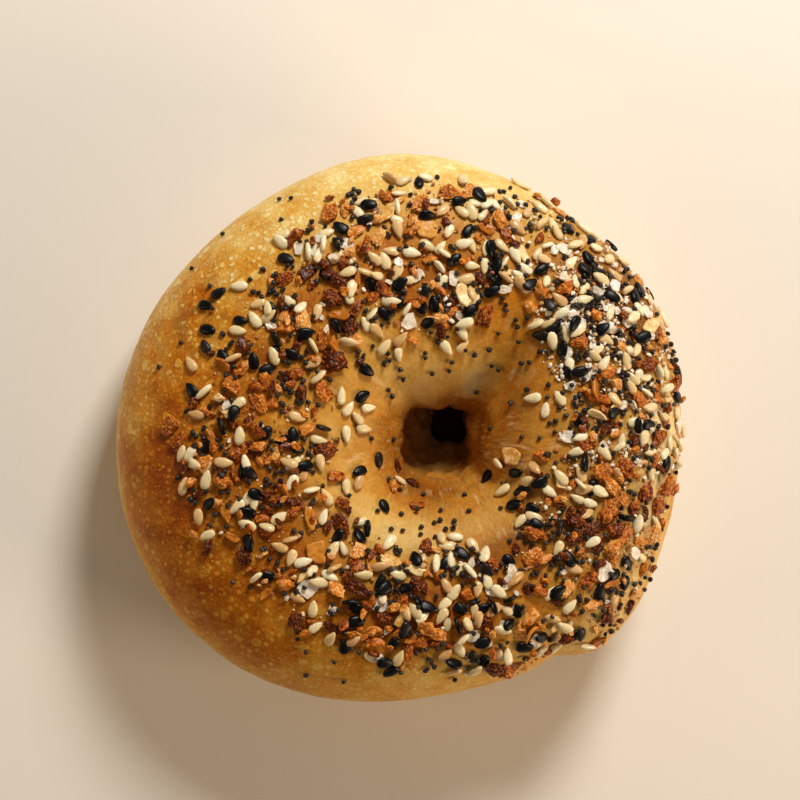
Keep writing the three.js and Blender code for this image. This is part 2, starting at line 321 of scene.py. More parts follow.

# %% [markdown]
# Where a bagel browns depends on how it lay in the oven. Each patch below is a place, a width
# and how much darker or paler it is drawn. Some patches are painted light and shade, in whole or
# in part: paler on the lower right flank, the top edge, the north rim of the hole and the silky
# skin south of it, and darker between the heaped toppings, east of the hole and on the hole's
# wall. The skirt just under the outline stays pale, because it is shaded there, and the tray
# browns the base.

# %% Browning, blisters and stretch
BAKE_MIDDLE = 0.46
BAKE_AND_PAINTED_LIGHT_PATCHES = [                    # around, width, across, width, how much darker; painted light and shade are among them
    (186, 12, 0.83, 0.08, 0.22),
    (205, 38, 0.8, 0.14, 0.18),
    (152, 9, 0.86, 0.07, 0.26),
    (235, 20, 0.9, 0.1, 0.06),
    # this line, the next, and those at 92, 150, 210, 30, 308 and 270 further on: darker in the band
    # under the toppings, partly browning and partly painted shade of the heaped pieces
    (178, 62, 0.6, 0.13, 0.12),
    (130, 26, 0.6, 0.1, 0.06),
    (120, 16, 0.38, 0.08, -0.16),
    # this line, the next, and the one at 0 further on: paler on the lower right flank, painted light
    # where low light from the right grazes it
    (284, 42, 0.86, 0.14, -0.18),
    (335, 24, 0.86, 0.14, -0.26),
    # paler along the top edge: partly a paler crust, partly painted light where the edge faces the light
    (90, 42, 0.94, 0.2, -0.32),
    (60, 14, 0.9, 0.1, -0.12),
    (92, 30, 0.5, 0.18, 0.24),
    (150, 22, 0.6, 0.12, 0.1),
    (210, 22, 0.48, 0.14, 0.22),
    (30, 30, 0.6, 0.3, 0.14),
    (140, 24, 0.8, 0.16, -0.14),
    # darker at 33: painted shade between the dense seeds there
    (33, 20, 0.82, 0.16, 0.46),
    (345, 9, 0.93, 0.1, 0.14),
    (0, 14, 0.82, 0.14, -0.58),
    (208, 26, 0.99, 0.08, 0.08),
    # this line and the next: darker round the mouth of the hole
    (250, 52, 0.05, 0.12, 0.34),
    (170, 34, 0.05, 0.12, 0.24),
    # paler south of the hole: a painted sheen where the silky skin catches the light
    (238, 42, 0.25, 0.1, -0.24),
    (308, 30, 0.36, 0.1, 0.38),
    (270, 26, 0.58, 0.13, 0.34),
    # this line and the next: darker east of the hole, painted shade on the side that faces away from the
    # light
    (30, 36, 0.1, 0.2, 0.22),
    (345, 26, 0.1, 0.12, 0.2),
    # this line and the next: paler on the north rim of the hole, painted light on a rim that lies in
    # shade
    (118, 30, 0.06, 0.15, -0.34),
    (60, 16, 0.08, 0.12, -0.48),
]
BLISTER_MIDDLE = 0.38
BLISTER_PATCHES = [                 # around, width, across, width, more blistered
    (138, 30, 0.85, 0.18, 0.65),
    (195, 45, 0.82, 0.22, 0.5),
    (95, 26, 0.92, 0.16, 0.25),
    (240, 40, 0.85, 0.18, 0.25),
]
BAKE_AND_PAINTED_SHADE_ROUND = [                      # section, width, how much darker, all the way round
    (-16, 27, -0.3),                # the skirt
    (270, 40, 0.24),                # the base
    (195, 38, 0.1),                 # the wall of the hole: painted shade
]
NEAR_HOLE = (0.2, 0.62)             # across the ring, where the pull of the hole fades out
STRANDS_ROUND = 12                  # how far apart strands lie round the hole, for 1 of radius
STRANDS_ALONG = 0.16                # how drawn out they are, for 1 across
LEDGE_REACH = 1.3                   # how far the ledge's own look spreads, for 1 of its spread
RIM = (175, 28)                     # section and width of the hole's rim

around_flat, section_flat = around_grid.ravel(), section_grid.ravel()
across_flat = (1 + power(np.cos(section_flat * DEGREE), 2 / SECTION_POWER)) / 2
top_side = smooth(-0.1, 0.35, np.sin(section_flat * DEGREE))
bake = np.full(len(ring_points), BAKE_MIDDLE)
for at, width, out, spread, darker_by in BAKE_AND_PAINTED_LIGHT_PATCHES:
    near = np.exp(-(((across_flat - out) / spread) ** 2))
    bake += darker_by * bump(around_flat, at, width) * near * top_side
for at, width, darker_by in BAKE_AND_PAINTED_SHADE_ROUND:
    bake += darker_by * bump(section_flat, at, width)

near_hole = 1 - smooth(*NEAR_HOLE, across_flat)
stretch = 0.55 + 0.45 * bump(around_flat, 320, 80) + 0.35 * bump(around_flat, 180, 45)
stretch = near_hole * top_side * stretch
blister = BLISTER_MIDDLE * (1 - 0.8 * near_hole)
for at, width, out, spread, more in BLISTER_PATCHES:
    blister += more * bump(around_flat, at, width) * np.exp(-(((across_flat - out) / spread) ** 2))
blister = np.clip(blister, 0, 1.3)
from_hole = ring_points[:, :2] - np.array(HOLE_CENTRE)
hole_distance = np.linalg.norm(from_hole, axis=1)
strand = np.column_stack([
    STRANDS_ROUND * from_hole / hole_distance[:, None],
    STRANDS_ALONG * (hole_distance + ring_points[:, 2]),
])
dull = 0.1 + 0.9 * bump(section_flat, 8, 32) * bump(around_flat, 160, 45)
dull += 0.9 * bump(section_flat, 212, 34) + 0.6 * near_hole * top_side
dull += 0.6 * bump(section_flat, 48, 26) * bump(around_flat, 148, 24)
ledge = bump(section_flat, LEDGE["section"], LEDGE_REACH * LEDGE["spread"])
rim = bump(section_flat, *RIM)
for name, values in {
    "bake": bake, "blister": blister, "dull": np.clip(dull, 0, 1), "stretch": stretch,
    "ledge": ledge, "rim": rim,
}.items():
    store(bread, name, values)
store(bread, "strand", strand * MM, "FLOAT_VECTOR", "vector")
print("bake runs from", round(float(bake.min()), 2), "to", round(float(bake.max()), 2))

# %% [markdown]
# The skin's relief is real geometry down to what the mesh can hold. A tree of geometry nodes
# lifts each point along its normal: round blisters from a smooth Voronoi pattern, shallow
# unevenness from noise, wrinkles that run with the pull of the dough, and knobs on the ledge
# inside the hole. The hole's rim is made uneven in the same way. The finest grain, under a
# millimetre, is left to the material's bump.

# %% The relief of the skin
relief_tree, given, result = new_tree("skin_relief", [
    ("Blister Width", "NodeSocketFloat", 2.3 * MM),
    ("Blister Height", "NodeSocketFloat", 0.16 * MM),
    ("Unevenness", "NodeSocketFloat", 0.75 * MM),
    ("Wrinkle Width", "NodeSocketFloat", 1.1 * MM),
    ("Wrinkle Height", "NodeSocketFloat", 0.22 * MM),
    ("Knob Width", "NodeSocketFloat", 3.2 * MM),
    ("Knob Height", "NodeSocketFloat", 4.6 * MM),
    ("Rim Width", "NodeSocketFloat", 6.5 * MM),
    ("Rim Height", "NodeSocketFloat", 4.5 * MM),
])
BROAD = 14 * MM                     # how wide the slow unevenness is
DOME = 0.55                         # the pattern's value at which a blister meets the skin
SUNK = 0.65                         # the same for the slow unevenness, which is mostly sunk
TRAY_REACH = (0.2 * MM, 3 * MM)     # the height over which the flat base passes into the relief
place = add(relief_tree, POSITION)
named = {
    name: add(relief_tree, NAMED, {"Name": name}, data_type=kind)
    for name, kind in {
        "blister": "FLOAT", "stretch": "FLOAT", "ledge": "FLOAT", "rim": "FLOAT",
        "strand": "FLOAT_VECTOR",
    }.items()
}


def lifted_by(label, vector, where, **pattern):
    """Noise about 0, as wide and high as the inputs of this name, where an attribute says."""
    scale = add(relief_tree, MATH, [1.0, given.outputs[label + " Width"]], operation="DIVIDE")
    waves = add(relief_tree, NOISE, {"Vector": vector, "Scale": scale, **pattern})
    waves = add(relief_tree, MATH, [waves, 0.5], operation="SUBTRACT")
    for factor in (given.outputs[label + " Height"], named[where]):
        waves = add(relief_tree, MATH, [waves, factor], operation="MULTIPLY")
    return waves


scale = add(relief_tree, MATH, [1.0, given.outputs["Blister Width"]], operation="DIVIDE")
cells = add(relief_tree, CELLS, {
    "Vector": place, "Scale": scale, "Smoothness": 0.35,
}, feature="SMOOTH_F1")
blisters = add(relief_tree, MATH, [DOME, cells], operation="SUBTRACT")
for factor in (named["blister"], given.outputs["Blister Height"]):
    blisters = add(relief_tree, MATH, [blisters, factor], operation="MULTIPLY")
slow = add(relief_tree, NOISE, {"Vector": place, "Scale": 1 / BROAD})
slow = add(relief_tree, MATH, [slow, SUNK], operation="SUBTRACT")
height = add(relief_tree, MATH, [slow, given.outputs["Unevenness"]], operation="MULTIPLY")
for part in (
    blisters,
    lifted_by("Wrinkle", named["strand"], "stretch", Distortion=0.4),
    lifted_by("Knob", place, "ledge"),
    lifted_by("Rim", place, "rim", Detail=3.0),
):
    height = add(relief_tree, MATH, [height, part])
rise = add(relief_tree, "ShaderNodeSeparateXYZ", [place]).outputs["Z"]
clear_of_tray = add(relief_tree, MAP, [rise, *TRAY_REACH])
height = add(relief_tree, MATH, [height, clear_of_tray], operation="MULTIPLY")
normal = add(relief_tree, "GeometryNodeInputNormal")
offset = add(relief_tree, VECTOR_MATH, {0: normal, "Scale": height}, operation="SCALE")
lifted = add(relief_tree, "GeometryNodeSetPosition", {
    "Geometry": given.outputs["Geometry"], "Offset": offset,
})
connect(relief_tree, result, [lifted])
apply_tree(bread, relief_tree, {})
print("crust after the relief:", len(bread.data.polygons), "faces")

# %% [markdown]
# ## The finish of the crust
# Boiled and baked dough skin: a thin, tight, slightly glossy layer of set starch over pale
# crumb. Light goes a little way in, so the colour is warm and soft. Blisters are paler than
# the skin between them, the stretched skin near the hole is silky, with pale strands, and fine
# powder of the mix dusts it where the toppings lie. That powder is drawn darker than its own
# colour, as painted shade between the heaped pieces, and the ledge deep in the hole gets a
# greyish painted shade.

# %% The patterns in the crust
crust, tree, shader = new_material("boiled_dough_crust")
coords = add(tree, COORDINATES).outputs["Object"]
read = {
    name: add(tree, ATTRIBUTE, attribute_name=name).outputs["Fac"]
    for name in ("bake", "blister", "dull", "stretch", "dusting", "ledge")
}
strand = add(tree, ATTRIBUTE, attribute_name="strand").outputs["Vector"]
PATTERNS = {                        # space, size, detail and roughness
    "warp": (coords, 1.4 * MM, 1.0, 0.5),
    "patches": (coords, 6 * MM, 4.0, 0.6),      # uneven browning
    "dull": (coords, 3.2 * MM, 3.0, 0.6),       # where the glaze is missing
    "mottle": (coords, 0.7 * MM, 3.0, 0.6),     # fine unevenness of the colour
    "grain": (coords, 0.3 * MM, 2.0, 0.5),      # the finest grain, no finer than it shows
    "strands": (strand, 0.5 * MM, 3.0, 0.5),    # pulled strands of dough
    "shreds": (strand, 1.2 * MM, 3.0, 0.6),     # paler shreds, where the skin tore a little
    "torn": (coords, 6 * MM, 2.0, 0.5),         # where those lie
}
noises = {
    name: add(tree, NOISE, {
        "Vector": space, "Scale": 1 / size, "Detail": detail, "Roughness": roughness,
    })
    for name, (space, size, detail, roughness) in PATTERNS.items()
}
print("patterns in the crust:", ", ".join(noises))

# %% Blisters of three sizes
FINE_BLISTER = 0.75 * MM            # small blisters, from cell to cell
BLISTER = 1.25 * MM                 # the packed, paler ones
BUBBLE = 2.8 * MM                   # the fewer large ones
warped = add(tree, VECTOR_MATH, [
    noises["warp"].outputs["Color"], (0.9 * MM,) * 3, coords,
], operation="MULTIPLY_ADD")


def blisters_of(width, round_edge, flat_edge, weakest):
    """Round blisters, one to a cell, as strong as the cell's own draw is above weakest."""
    cell = add(tree, CELLS, {"Vector": warped, "Scale": 1 / width})
    own = add(tree, "ShaderNodeSeparateColor", [cell.outputs["Color"]])
    spot = add(tree, MAP, [cell, round_edge, flat_edge], interpolation_type="SMOOTHSTEP")
    strength = add(tree, MAP, [own, weakest, 1.0], interpolation_type="SMOOTHSTEP")
    return add(tree, MATH, [spot, strength], operation="MULTIPLY")


spots = blisters_of(FINE_BLISTER, 0.55, 0.15, -0.4)
spots = add(tree, MATH, [spots, 0.6], operation="MULTIPLY")
for larger in (blisters_of(BLISTER, 0.46, 0.28, 0.1), blisters_of(BUBBLE, 0.38, 0.3, 0.62)):
    spots = add(tree, MATH, [spots, larger], operation="MAXIMUM")
spots = add(tree, MATH, [spots, read["blister"]], operation="MULTIPLY")
print("blisters in millimetres:", [round(w / MM, 2) for w in (FINE_BLISTER, BLISTER, BUBBLE)])

# %% How brown each spot is, with painted light and shade
uneven = {
    name: add(tree, MATH, [noises[name], 0.5], operation="SUBTRACT")
    for name in ("patches", "mottle", "strands", "grain")
}
pulled = add(tree, MATH, [uneven["strands"], read["stretch"]], operation="MULTIPLY")
blotched = add(tree, MATH, [uneven["patches"], read["blister"]], operation="MULTIPLY")
weights = [
    (uneven["patches"], 0.35), (blotched, 0.5), (spots, -0.3), (read["blister"], 0.09),
    (uneven["mottle"], 0.28), (pulled, -0.26), (uneven["grain"], 0.12),
]
browned_with_painted_light = read["bake"]
for value, weight in weights:
    browned_with_painted_light = add(tree, MATH, [value, weight, browned_with_painted_light], operation="MULTIPLY_ADD")
glazed = add(tree, RAMP, [browned_with_painted_light], [
    (0.0, "#efe0a4"), (0.2, "#e3c06c"), (0.4, "#d69c38"), (0.6, "#bf7310"), (0.8, "#9b4b00"),
    (1.0, "#6e2a00"),
])
dull = add(tree, RAMP, [browned_with_painted_light], [
    (0.0, "#eed9a4"), (0.25, "#dab46a"), (0.5, "#be8c3c"), (0.75, "#94601e"), (1.0, "#683a0e"),
])
print("browning is the stored bake and", len(weights), "patterns")

# %% Material: boiled dough crust
# Set starch: tan where it is dull, dusted by the mix and torn near the hole. The powder's colour is
# darker than its own, as painted shade between the heaped toppings, and the ledge in the hole gets a
# greyish painted shade.
skin = add(tree, MAP, [noises["dull"], 0.42, 0.68], interpolation_type="SMOOTHSTEP")
skin = add(tree, MATH, [skin, read["dull"]], operation="MULTIPLY")
for name, more in {"dusting": 4.0, "stretch": 0.6}.items():
    skin = add(tree, MATH, [read[name], more, skin], operation="MULTIPLY_ADD")
skin = add(tree, MATH, [skin, 1.0], operation="MINIMUM")
tone = add(tree, MIX, {0: skin, 6: glazed, 7: dull}, data_type="RGBA")
powder = add(tree, MAP, [noises["mottle"], 0.3, 0.75, 0.35, 1.0], interpolation_type="SMOOTHSTEP")
powder = add(tree, MATH, [powder, read["dusting"]], operation="MULTIPLY")
# painted shade: the ledge deep in the hole is drawn greyish dark
ledge_painted_shade = add(tree, MATH, [read["ledge"], 0.75], operation="MULTIPLY")
shreds = add(tree, MAP, [noises["shreds"], 0.5, 0.7, 0.0, 0.6], interpolation_type="SMOOTHSTEP")
torn = add(tree, MAP, [noises["torn"], 0.4, 0.65], interpolation_type="SMOOTHSTEP")
for factor in (torn, read["stretch"]):
    shreds = add(tree, MATH, [shreds, factor], operation="MULTIPLY")
# the powder's colour stands partly for painted shade between the toppings; the ledge's grey is painted
# shade
for share, code in ((powder, "#b5864f"), (ledge_painted_shade, "#8c8056"), (shreds, "#ecd09c")):
    tone = add(tree, MIX, {0: share, 6: tone, 7: colour(code)}, data_type="RGBA")
raised = add(tree, MATH, [noises["grain"], 0.3], operation="MULTIPLY")
for value, weight in ((spots, 0.9), (uneven["mottle"], 0.4), (pulled, 0.55)):
    raised = add(tree, MATH, [value, weight, raised], operation="MULTIPLY_ADD")
connect(tree, shader, {
    "Base Color": tone,
    "Roughness": add(tree, MAP, [spots, 0.0, 0.8, 0.48, 0.28], interpolation_type="SMOOTHSTEP"),
    "Normal": add(tree, BUMP, {"Strength": 0.8, "Distance": 0.2 * MM, "Height": raised}),
    "IOR": 1.45, "Specular IOR Level": 0.16,
    "Subsurface Weight": 0.12, "Subsurface Radius": (2.2, 1.0, 0.4), "Subsurface Scale": 1 * MM,
})
bread.data.materials.clear()
bread.data.materials.append(crust)
print("crust material:", len(tree.nodes), "nodes")

# %% [markdown]
# ## Where the toppings lie
# The mix sticks in a band round the top. A place is drawn at random and kept with the chance
# that the band gives there, so the seeds crowd on the right and thin out to the left, as they
# do on a bagel that was pressed down on one side. The first draws repeat those of the CAD
# solid, with the same seed, so those pieces stand where the solid has them.

# %% Random draws and the band
SEED = 20261
drawn = SEED


def draw():
    """A plain random draw between 0 and 1, the same on every run."""
    global drawn
    drawn = (1664525 * drawn + 1013904223) % 4294967296
    return drawn / 4294967296


BAND = {                            # a value, then around, width and how much more there
    "inner": (0.32, (20, 35, 0.1), (60, 14, 0.22), (145, 30, 0.05), (240, 25, -0.04), (300, 12, 0.12),
              (325, 16, -0.15)),
    "outer": (0.73, (28, 55, 0.32), (110, 25, 0.1), (190, 18, 0.07), (298, 34, 0.19)),
    "cover": (0.76, (30, 45, 0.24), (90, 30, 0.2), (170, 25, -0.1), (215, 25, -0.1), (350, 18, -0.12)),
}
BAND_EDGE = 0.1
SHARE = {                           # how much of each kind fell round the ring
    "onion": (0.6, (50, 38, -0.5), (120, 25, 0.15), (185, 40, 0.4), (245, 20, 0.3), (295, 18, -0.35),
              (340, 22, 0.35)),
    "chip": (0.4, (50, 34, -0.2), (100, 35, 0.3), (200, 60, 0.25), (340, 30, 0.3)),
    "salt": (0.15, (35, 35, 0.85), (240, 25, 0.3), (320, 20, 0.25)),
    "sesame": (0.45, (45, 35, 0.45), (100, 22, 0.3), (262, 30, 0.35), (305, 15, 0.15)),
    "black": (0.48, (50, 28, 0.22), (85, 15, 0.15), (125, 20, 0.1), (165, 22, 0.2), (210, 18, -0.2),
              (275, 24, 0.7), (315, 15, 0.15)),
    "poppy": (0.35, (30, 36, 0.65), (150, 30, 0.15), (280, 35, 0.4)),
    "dust": (0.08, (30, 36, 0.9), (330, 25, 0.35), (200, 40, 0.1)),
}


def round_the_ring(table, around):
    """A value that changes round the ring."""
    value, *places = table
    for at, width, more in places:
        value = value + more * bump(around, at, width)
    return value


def band_cover(around, across):
    inner, outer = round_the_ring(BAND["inner"], around), round_the_ring(BAND["outer"], around)
    inside = smooth(inner - BAND_EDGE, inner + BAND_EDGE, across)
    inside = inside * (1 - smooth(outer - BAND_EDGE, outer + BAND_EDGE / 2, across))
    spread = (HOLE_RADIUS + across * (OUTLINE_RADIUS - HOLE_RADIUS)) / OUTLINE_RADIUS
    return inside * spread * round_the_ring(BAND["cover"], around)


DUSTING = (0.1, (15, 50, 0.25), (330, 25, 0.15))
dusting = top_side * band_cover(around_flat, across_flat) * round_the_ring(DUSTING, around_flat)
store(bread, "dusting", dusting)
print("dusting up to", round(float(dusting.max()), 2))

# %% [markdown]
# Pieces that land on others rest on them. A map of the pile, seen from above in quarter
# millimetres, remembers how high each spot has been built up. A new piece is lifted to the
# middle of what lies under it and tilted to its slope.

# %% The pile
CELL = 0.25                         # millimetres
PILE_HALF = 60.0
STEEPEST = 32                       # degrees that a piece leans on others
HIGHEST = 38.7                      # the mix is pressed on, so nothing stands higher than this
pile = np.zeros((int(2 * PILE_HALF / CELL),) * 2)
EMBEDDED = {                        # how high a piece's middle lies, for 1 of its height
    "onion": 0.3, "chip": 0.42, "salt": 0.42, "sesame": 0.4, "black": 0.4, "poppy": 0.4, "dust": 0.35,
}
pieces = {kind: [] for kind in EMBEDDED}
rng = np.random.default_rng(SEED)


def seat(around, across, turned):
    """The point, and the piece's own three directions there: long, wide and out of the crust."""
    section = section_at(across)
    step = 0.5
    near = crust_point(
        np.array([around, around + step, around - step, around, around]),
        np.array([section, section, section, section + step, section - step]),
    )
    out = np.cross(near[1] - near[2], near[3] - near[4])
    out = out / np.linalg.norm(out)
    heading = np.array([math.cos(turned * DEGREE), math.sin(turned * DEGREE), 0])
    long = heading - out * heading.dot(out)
    long = long / np.linalg.norm(long)
    return near[0], long, np.cross(out, long), out


def under(point, long, wide, size):
    """The pile's cells under a piece, and where they lie along and across it, from -1 to 1."""
    reach = int(0.5 * max(size[0], size[1]) / CELL) + 1
    i, j = ((point[:2] + PILE_HALF) / CELL).astype(int)
    cells = np.mgrid[i - reach:i + reach + 1, j - reach:j + reach + 1].reshape(2, -1)
    cells = np.clip(cells, 0, len(pile) - 1)
    offset = (cells.T + 0.5) * CELL - PILE_HALF - point[:2]
    u = 2 * offset @ long[:2] / size[0]
    v = 2 * offset @ wide[:2] / size[1]
    inside = u * u + v * v < 1
    return cells[0][inside], cells[1][inside], u[inside], v[inside]


def lay(kind, place, size, tone, roll=0.0, settle=True):
    """Lays a piece on the crust or on what is there, and notes its centre, turn, size and tone."""
    origin, long, wide, out = place
    size = np.array(size, float)
    x, y, u, v = under(origin, long, wide, size)
    height, lift, tilt, lean = pile[x, y], 0.0, 0.0, 0.0
    if settle and len(height) > 3:
        lift = height.mean()
        tilt = math.atan2(-8 * (height * u).mean(), size[0]) / DEGREE
        lean = math.atan2(8 * (height * v).mean(), size[1]) / DEGREE
        tilt, lean = np.clip([tilt, lean], -STEEPEST, STEEPEST)
    side = abs(math.sin(roll * DEGREE))
    high = (1 - side) * size[2] + side * size[1]
    centre = origin + out * (lift + EMBEDDED[kind] * high)
    axes = Matrix([(long[i], wide[i], out[i]) for i in range(3)])
    axes = axes @ Matrix.Rotation(tilt * DEGREE, 3, "Y")
    axes = axes @ Matrix.Rotation((lean + roll) * DEGREE, 3, "X")
    if settle:
        reach = 0.5 * np.linalg.norm(np.array(axes[2]) * size)
        centre[2] -= max(0, centre[2] + reach - HIGHEST)
    pieces[kind].append((centre, axes.to_euler(), size, tone))
    if len(height):
        dome = np.sqrt(np.maximum(0, 1 - u * u - v * v)) ** 0.5
        pile[x, y] = np.maximum(height, lift + (0.5 + EMBEDDED[kind]) * high * dome)


print("pile map:", pile.shape, "cells")

# %% [markdown]
# The pieces that stand out from the rest are listed one by one: kind, around, across, long,
# wide, how they are turned, and how dark they were toasted, from 0 for dark to 1 for pale.

# %% The large pieces
LARGE_PIECES = [
    ("onion", 179, 0.82, 4.2, 3.0, 60, 0.55), ("onion", 144, 0.37, 5.1, 4.0, -10, 0.15),
    ("onion", 127, 0.54, 4.5, 3.3, -25, 0.2), ("onion", 155, 0.67, 3.3, 2.4, -50, 0.0),
    ("onion", 133, 0.71, 3.8, 2.5, 35, 0.35), ("onion", 123, 0.81, 3.3, 2.7, 0, 0.4),
    ("chip", 91, 0.68, 4.9, 3.8, -20, 0.6), ("onion", 91, 0.77, 4.5, 2.4, 55, 0.75),
    ("onion", 83, 0.82, 4.5, 3.1, 0, 0.6), ("onion", 69, 0.38, 5.1, 2.9, 75, 0.35),
    ("onion", 53, 0.58, 3.3, 2.5, -60, 0.8), ("onion", 53, 0.49, 2.7, 2.2, 0, 0.8),
    ("onion", 35, 0.65, 2.7, 2.4, -60, 0.7), ("salt", 41, 0.58, 3.3, 2.9, 0, 0.8),
    ("salt", 28, 0.77, 3.6, 2.9, 45, 0.6), ("salt", 105, 0.34, 3.3, 3.1, 45, 0.1),
    ("chip", 347, 0.15, 3.8, 3.6, 5, 0.7), ("onion", 350, 0.26, 3.1, 2.0, -45, 0.6),
    ("onion", 347, 0.52, 3.8, 3.5, 0, 0.6), ("onion", 350, 0.63, 4.4, 3.1, -45, 0.4),
    ("onion", 347, 0.85, 4.4, 3.6, -70, 0.5), ("onion", 337, 0.6, 5.5, 3.6, 70, 0.55),
    ("onion", 329, 0.47, 4.4, 2.9, -20, 0.15), ("onion", 315, 0.35, 4.7, 3.1, -20, 0.5),
    ("salt", 322, 0.69, 3.6, 3.1, 40, 0.5), ("salt", 231, 0.59, 4.0, 3.5, 20, 0.7),
    ("salt", 252, 0.54, 4.0, 2.7, -10, 0.6), ("chip", 224, 0.47, 4.5, 4.0, -60, 0.4),
    ("onion", 242, 0.5, 5.5, 2.7, -30, 0.05), ("onion", 263, 0.45, 4.4, 3.3, -40, 0.15),
    ("chip", 260, 0.38, 4.9, 2.7, -15, 0.9), ("onion", 292, 0.39, 4.0, 2.5, -10, 0.4),
    ("onion", 221, 0.34, 5.1, 2.7, -60, 0.2), ("chip", 65, 0.97, 4.2, 1.8, -25, 0.9),
    ("onion", 56, 0.99, 2.7, 2.2, 60, 0.4), ("onion", 208, 0.77, 3.3, 2.0, 80, 0.1),
]
OUTLINE_DRAWS = 15                  # the solid draws an angle, a size and a lift for 5 corners
EMBEDDING = 1.35                    # a crumb's whole height, for 1 of it above the crust
taken = []                          # (point, room) of every piece of the first draws
for kind, around, across, long, wide, turned, tone in LARGE_PIECES:
    place = seat(around, across, turned)
    taken.append((place[0], 0.8 * long))
    high = EMBEDDING * {"onion": 0.55 * wide, "chip": 0.7, "salt": 0.6}[kind]
    lay(kind, place, (long, wide, high), tone, settle=False)
    for _ in range(OUTLINE_DRAWS):
        draw()
print(len(LARGE_PIECES), "large pieces")

# %% The pieces that the solid also holds
ONION = {"count": 60, "largest": 4.6, "smallest": 2.7, "flat": 0.66, "high": 0.42, "room": 0.86}
SALT = {"count": 18, "largest": 3.6, "smallest": 2.4, "flat": 0.75, "high": 0.2, "room": 0.8}
SESAME = {"count": 74, "long": 3.2, "wide": 1.8, "high": 0.95, "room": 0.8}
BLACK_SESAME = {"count": 42, "long": 3.1, "wide": 1.95, "high": 0.9, "room": 0.8}


def scatter(kind, count, room_at):
    """Yields seats in the band, none nearer than its room to another piece."""
    placed = 0
    while placed < count:
        around, across = 360 * draw(), draw()
        kept = draw() < band_cover(around, across) * round_the_ring(SHARE[kind], around)
        if not kept:
            continue
        room = room_at(placed / count)
        point = crust_point(around, section_at(across))
        if any(math.dist(other, point) < 0.5 * (room + space) for other, space in taken):
            continue
        taken.append((point, room))
        yield seat(around, across, 360 * draw()), placed / count
        placed += 1


def uneven_length(sizes, share):
    return sizes["largest"] + (sizes["smallest"] - sizes["largest"]) * share


for kind, sizes in {"onion": ONION, "salt": SALT}.items():
    for place, share in scatter(kind, sizes["count"], lambda s: sizes["room"] * uneven_length(sizes, s)):
        long = uneven_length(sizes, share)
        wide = long * (sizes["flat"] + 0.25 * (draw() - 0.5))
        tone = [draw() for _ in range(OUTLINE_DRAWS)][-1]
        lay(kind, place, (long, wide, EMBEDDING * sizes["high"] * wide), tone, settle=False)
for kind, sizes in {"sesame": SESAME, "black": BLACK_SESAME}.items():
    for place, share in scatter(kind, sizes["count"], lambda s: sizes["room"] * sizes["long"]):
        size = 0.88 + 0.24 * draw()
        size = [size * sizes[key] for key in ("long", "wide", "high")]
        lay(kind, place, size, rng.random(), settle=False)
print("shared with the solid:", {kind: len(found) for kind, found in pieces.items() if found})

# %% [markdown]
# Round the hole and on the bare shoulder to the upper left the seeds lie one by one, so they
# are listed too: around, across and the way that the tip points.

# %% The lone seeds
LONE = {
    "sesame": [
        (157, 0.18, 0), (172, 0.18, -8), (166, 0.21, 140), (177, 0.24, -85), (162, 0.25, 52),
        (157, 0.29, 90), (88, 0.23, -55), (78, 0.24, 50), (79, 0.29, -60), (76, 0.34, 75),
        (76, 0.42, -143), (118, 0.24, -80), (24, 0.24, -175), (15, 0.28, 80), (18, 0.35, 125),
        (338, 0.1, -15), (343, 0.24, -40), (334, 0.22, 20), (320, 0.14, -163), (314, 0.27, -130),
        (320, 0.3, -18), (334, 0.32, -35), (206, 0.21, 60), (206, 0.26, -90), (222, 0.06, 180),
        (127, 0.82, 135), (142, 0.8, 175), (143, 0.71, -160), (152, 0.71, -10), (164, 0.8, 130),
        (154, 0.56, 110),
    ],
    "black": [
        (114, 0.4, 140), (98, 0.39, 110), (92, 0.39, 105), (138, 0.26, -35), (152, 0.22, 25),
        (196, 0.12, -90), (200, 0.2, -165), (228, 0.18, -70), (322, 0.06, -135), (336, 0.17, 5),
        (336, 0.27, -160), (327, 0.21, -165), (318, 0.21, 0), (323, 0.28, -20), (42, 0.46, -150),
        (48, 0.54, 130), (44, 0.41, 180), (24, 0.46, -170), (129, 0.76, -20), (146, 0.84, 20),
        (150, 0.85, -20), (155, 0.8, -15), (159, 0.78, 120), (160, 0.71, 120),
    ],
    "onion": [
        (207, 0.05, -35), (222, 0.1, 70), (235, 0.04, 15), (248, 0.12, 5),
    ],
    "poppy": [
        (178, 0.06, 0), (214, 0.1, 0), (228, 0.09, 0), (227, 0.21, 0), (240, 0.17, 0), (240, 0.24, 0),
        (250, 0.07, 0), (249, 0.14, 0), (268, 0.13, 0), (256, 0.2, 0), (257, 0.23, 0), (264, 0.18, 0),
        (268, 0.17, 0), (272, 0.21, 0), (277, 0.21, 0), (266, 0.24, 0), (278, 0.18, 0), (292, 0.08, 0),
        (55, 0.05, 0), (14, 0.06, 0), (2, 0.18, 0), (8, 0.29, 0), (3, 0.31, 0), (0, 0.39, 0),
        (26, 0.32, 0), (21, 0.3, 0), (14, 0.34, 0), (56, 0.41, 0), (61, 0.43, 0), (62, 0.45, 0),
        (64, 0.47, 0), (84, 0.18, 0), (87, 0.27, 0), (88, 0.3, 0), (96, 0.29, 0), (102, 0.22, 0),
        (352, 0.29, 0), (348, 0.32, 0), (134, 0.98, 0), (144, 0.97, 0), (120, 0.96, 0), (118, 0.94, 0),
        (123, 0.89, 0), (139, 0.79, 0), (150, 0.82, 0), (160, 0.86, 0),
    ],
}
LONE_SIZE = {
    "sesame": (3.4, 1.85, 0.95), "black": (3.2, 2.05, 0.85), "onion": (2.9, 1.6, 0.9),
    "poppy": (1.0, 0.9, 0.8),
}
LEAN = 7                            # degrees that a lone piece leans, more or less
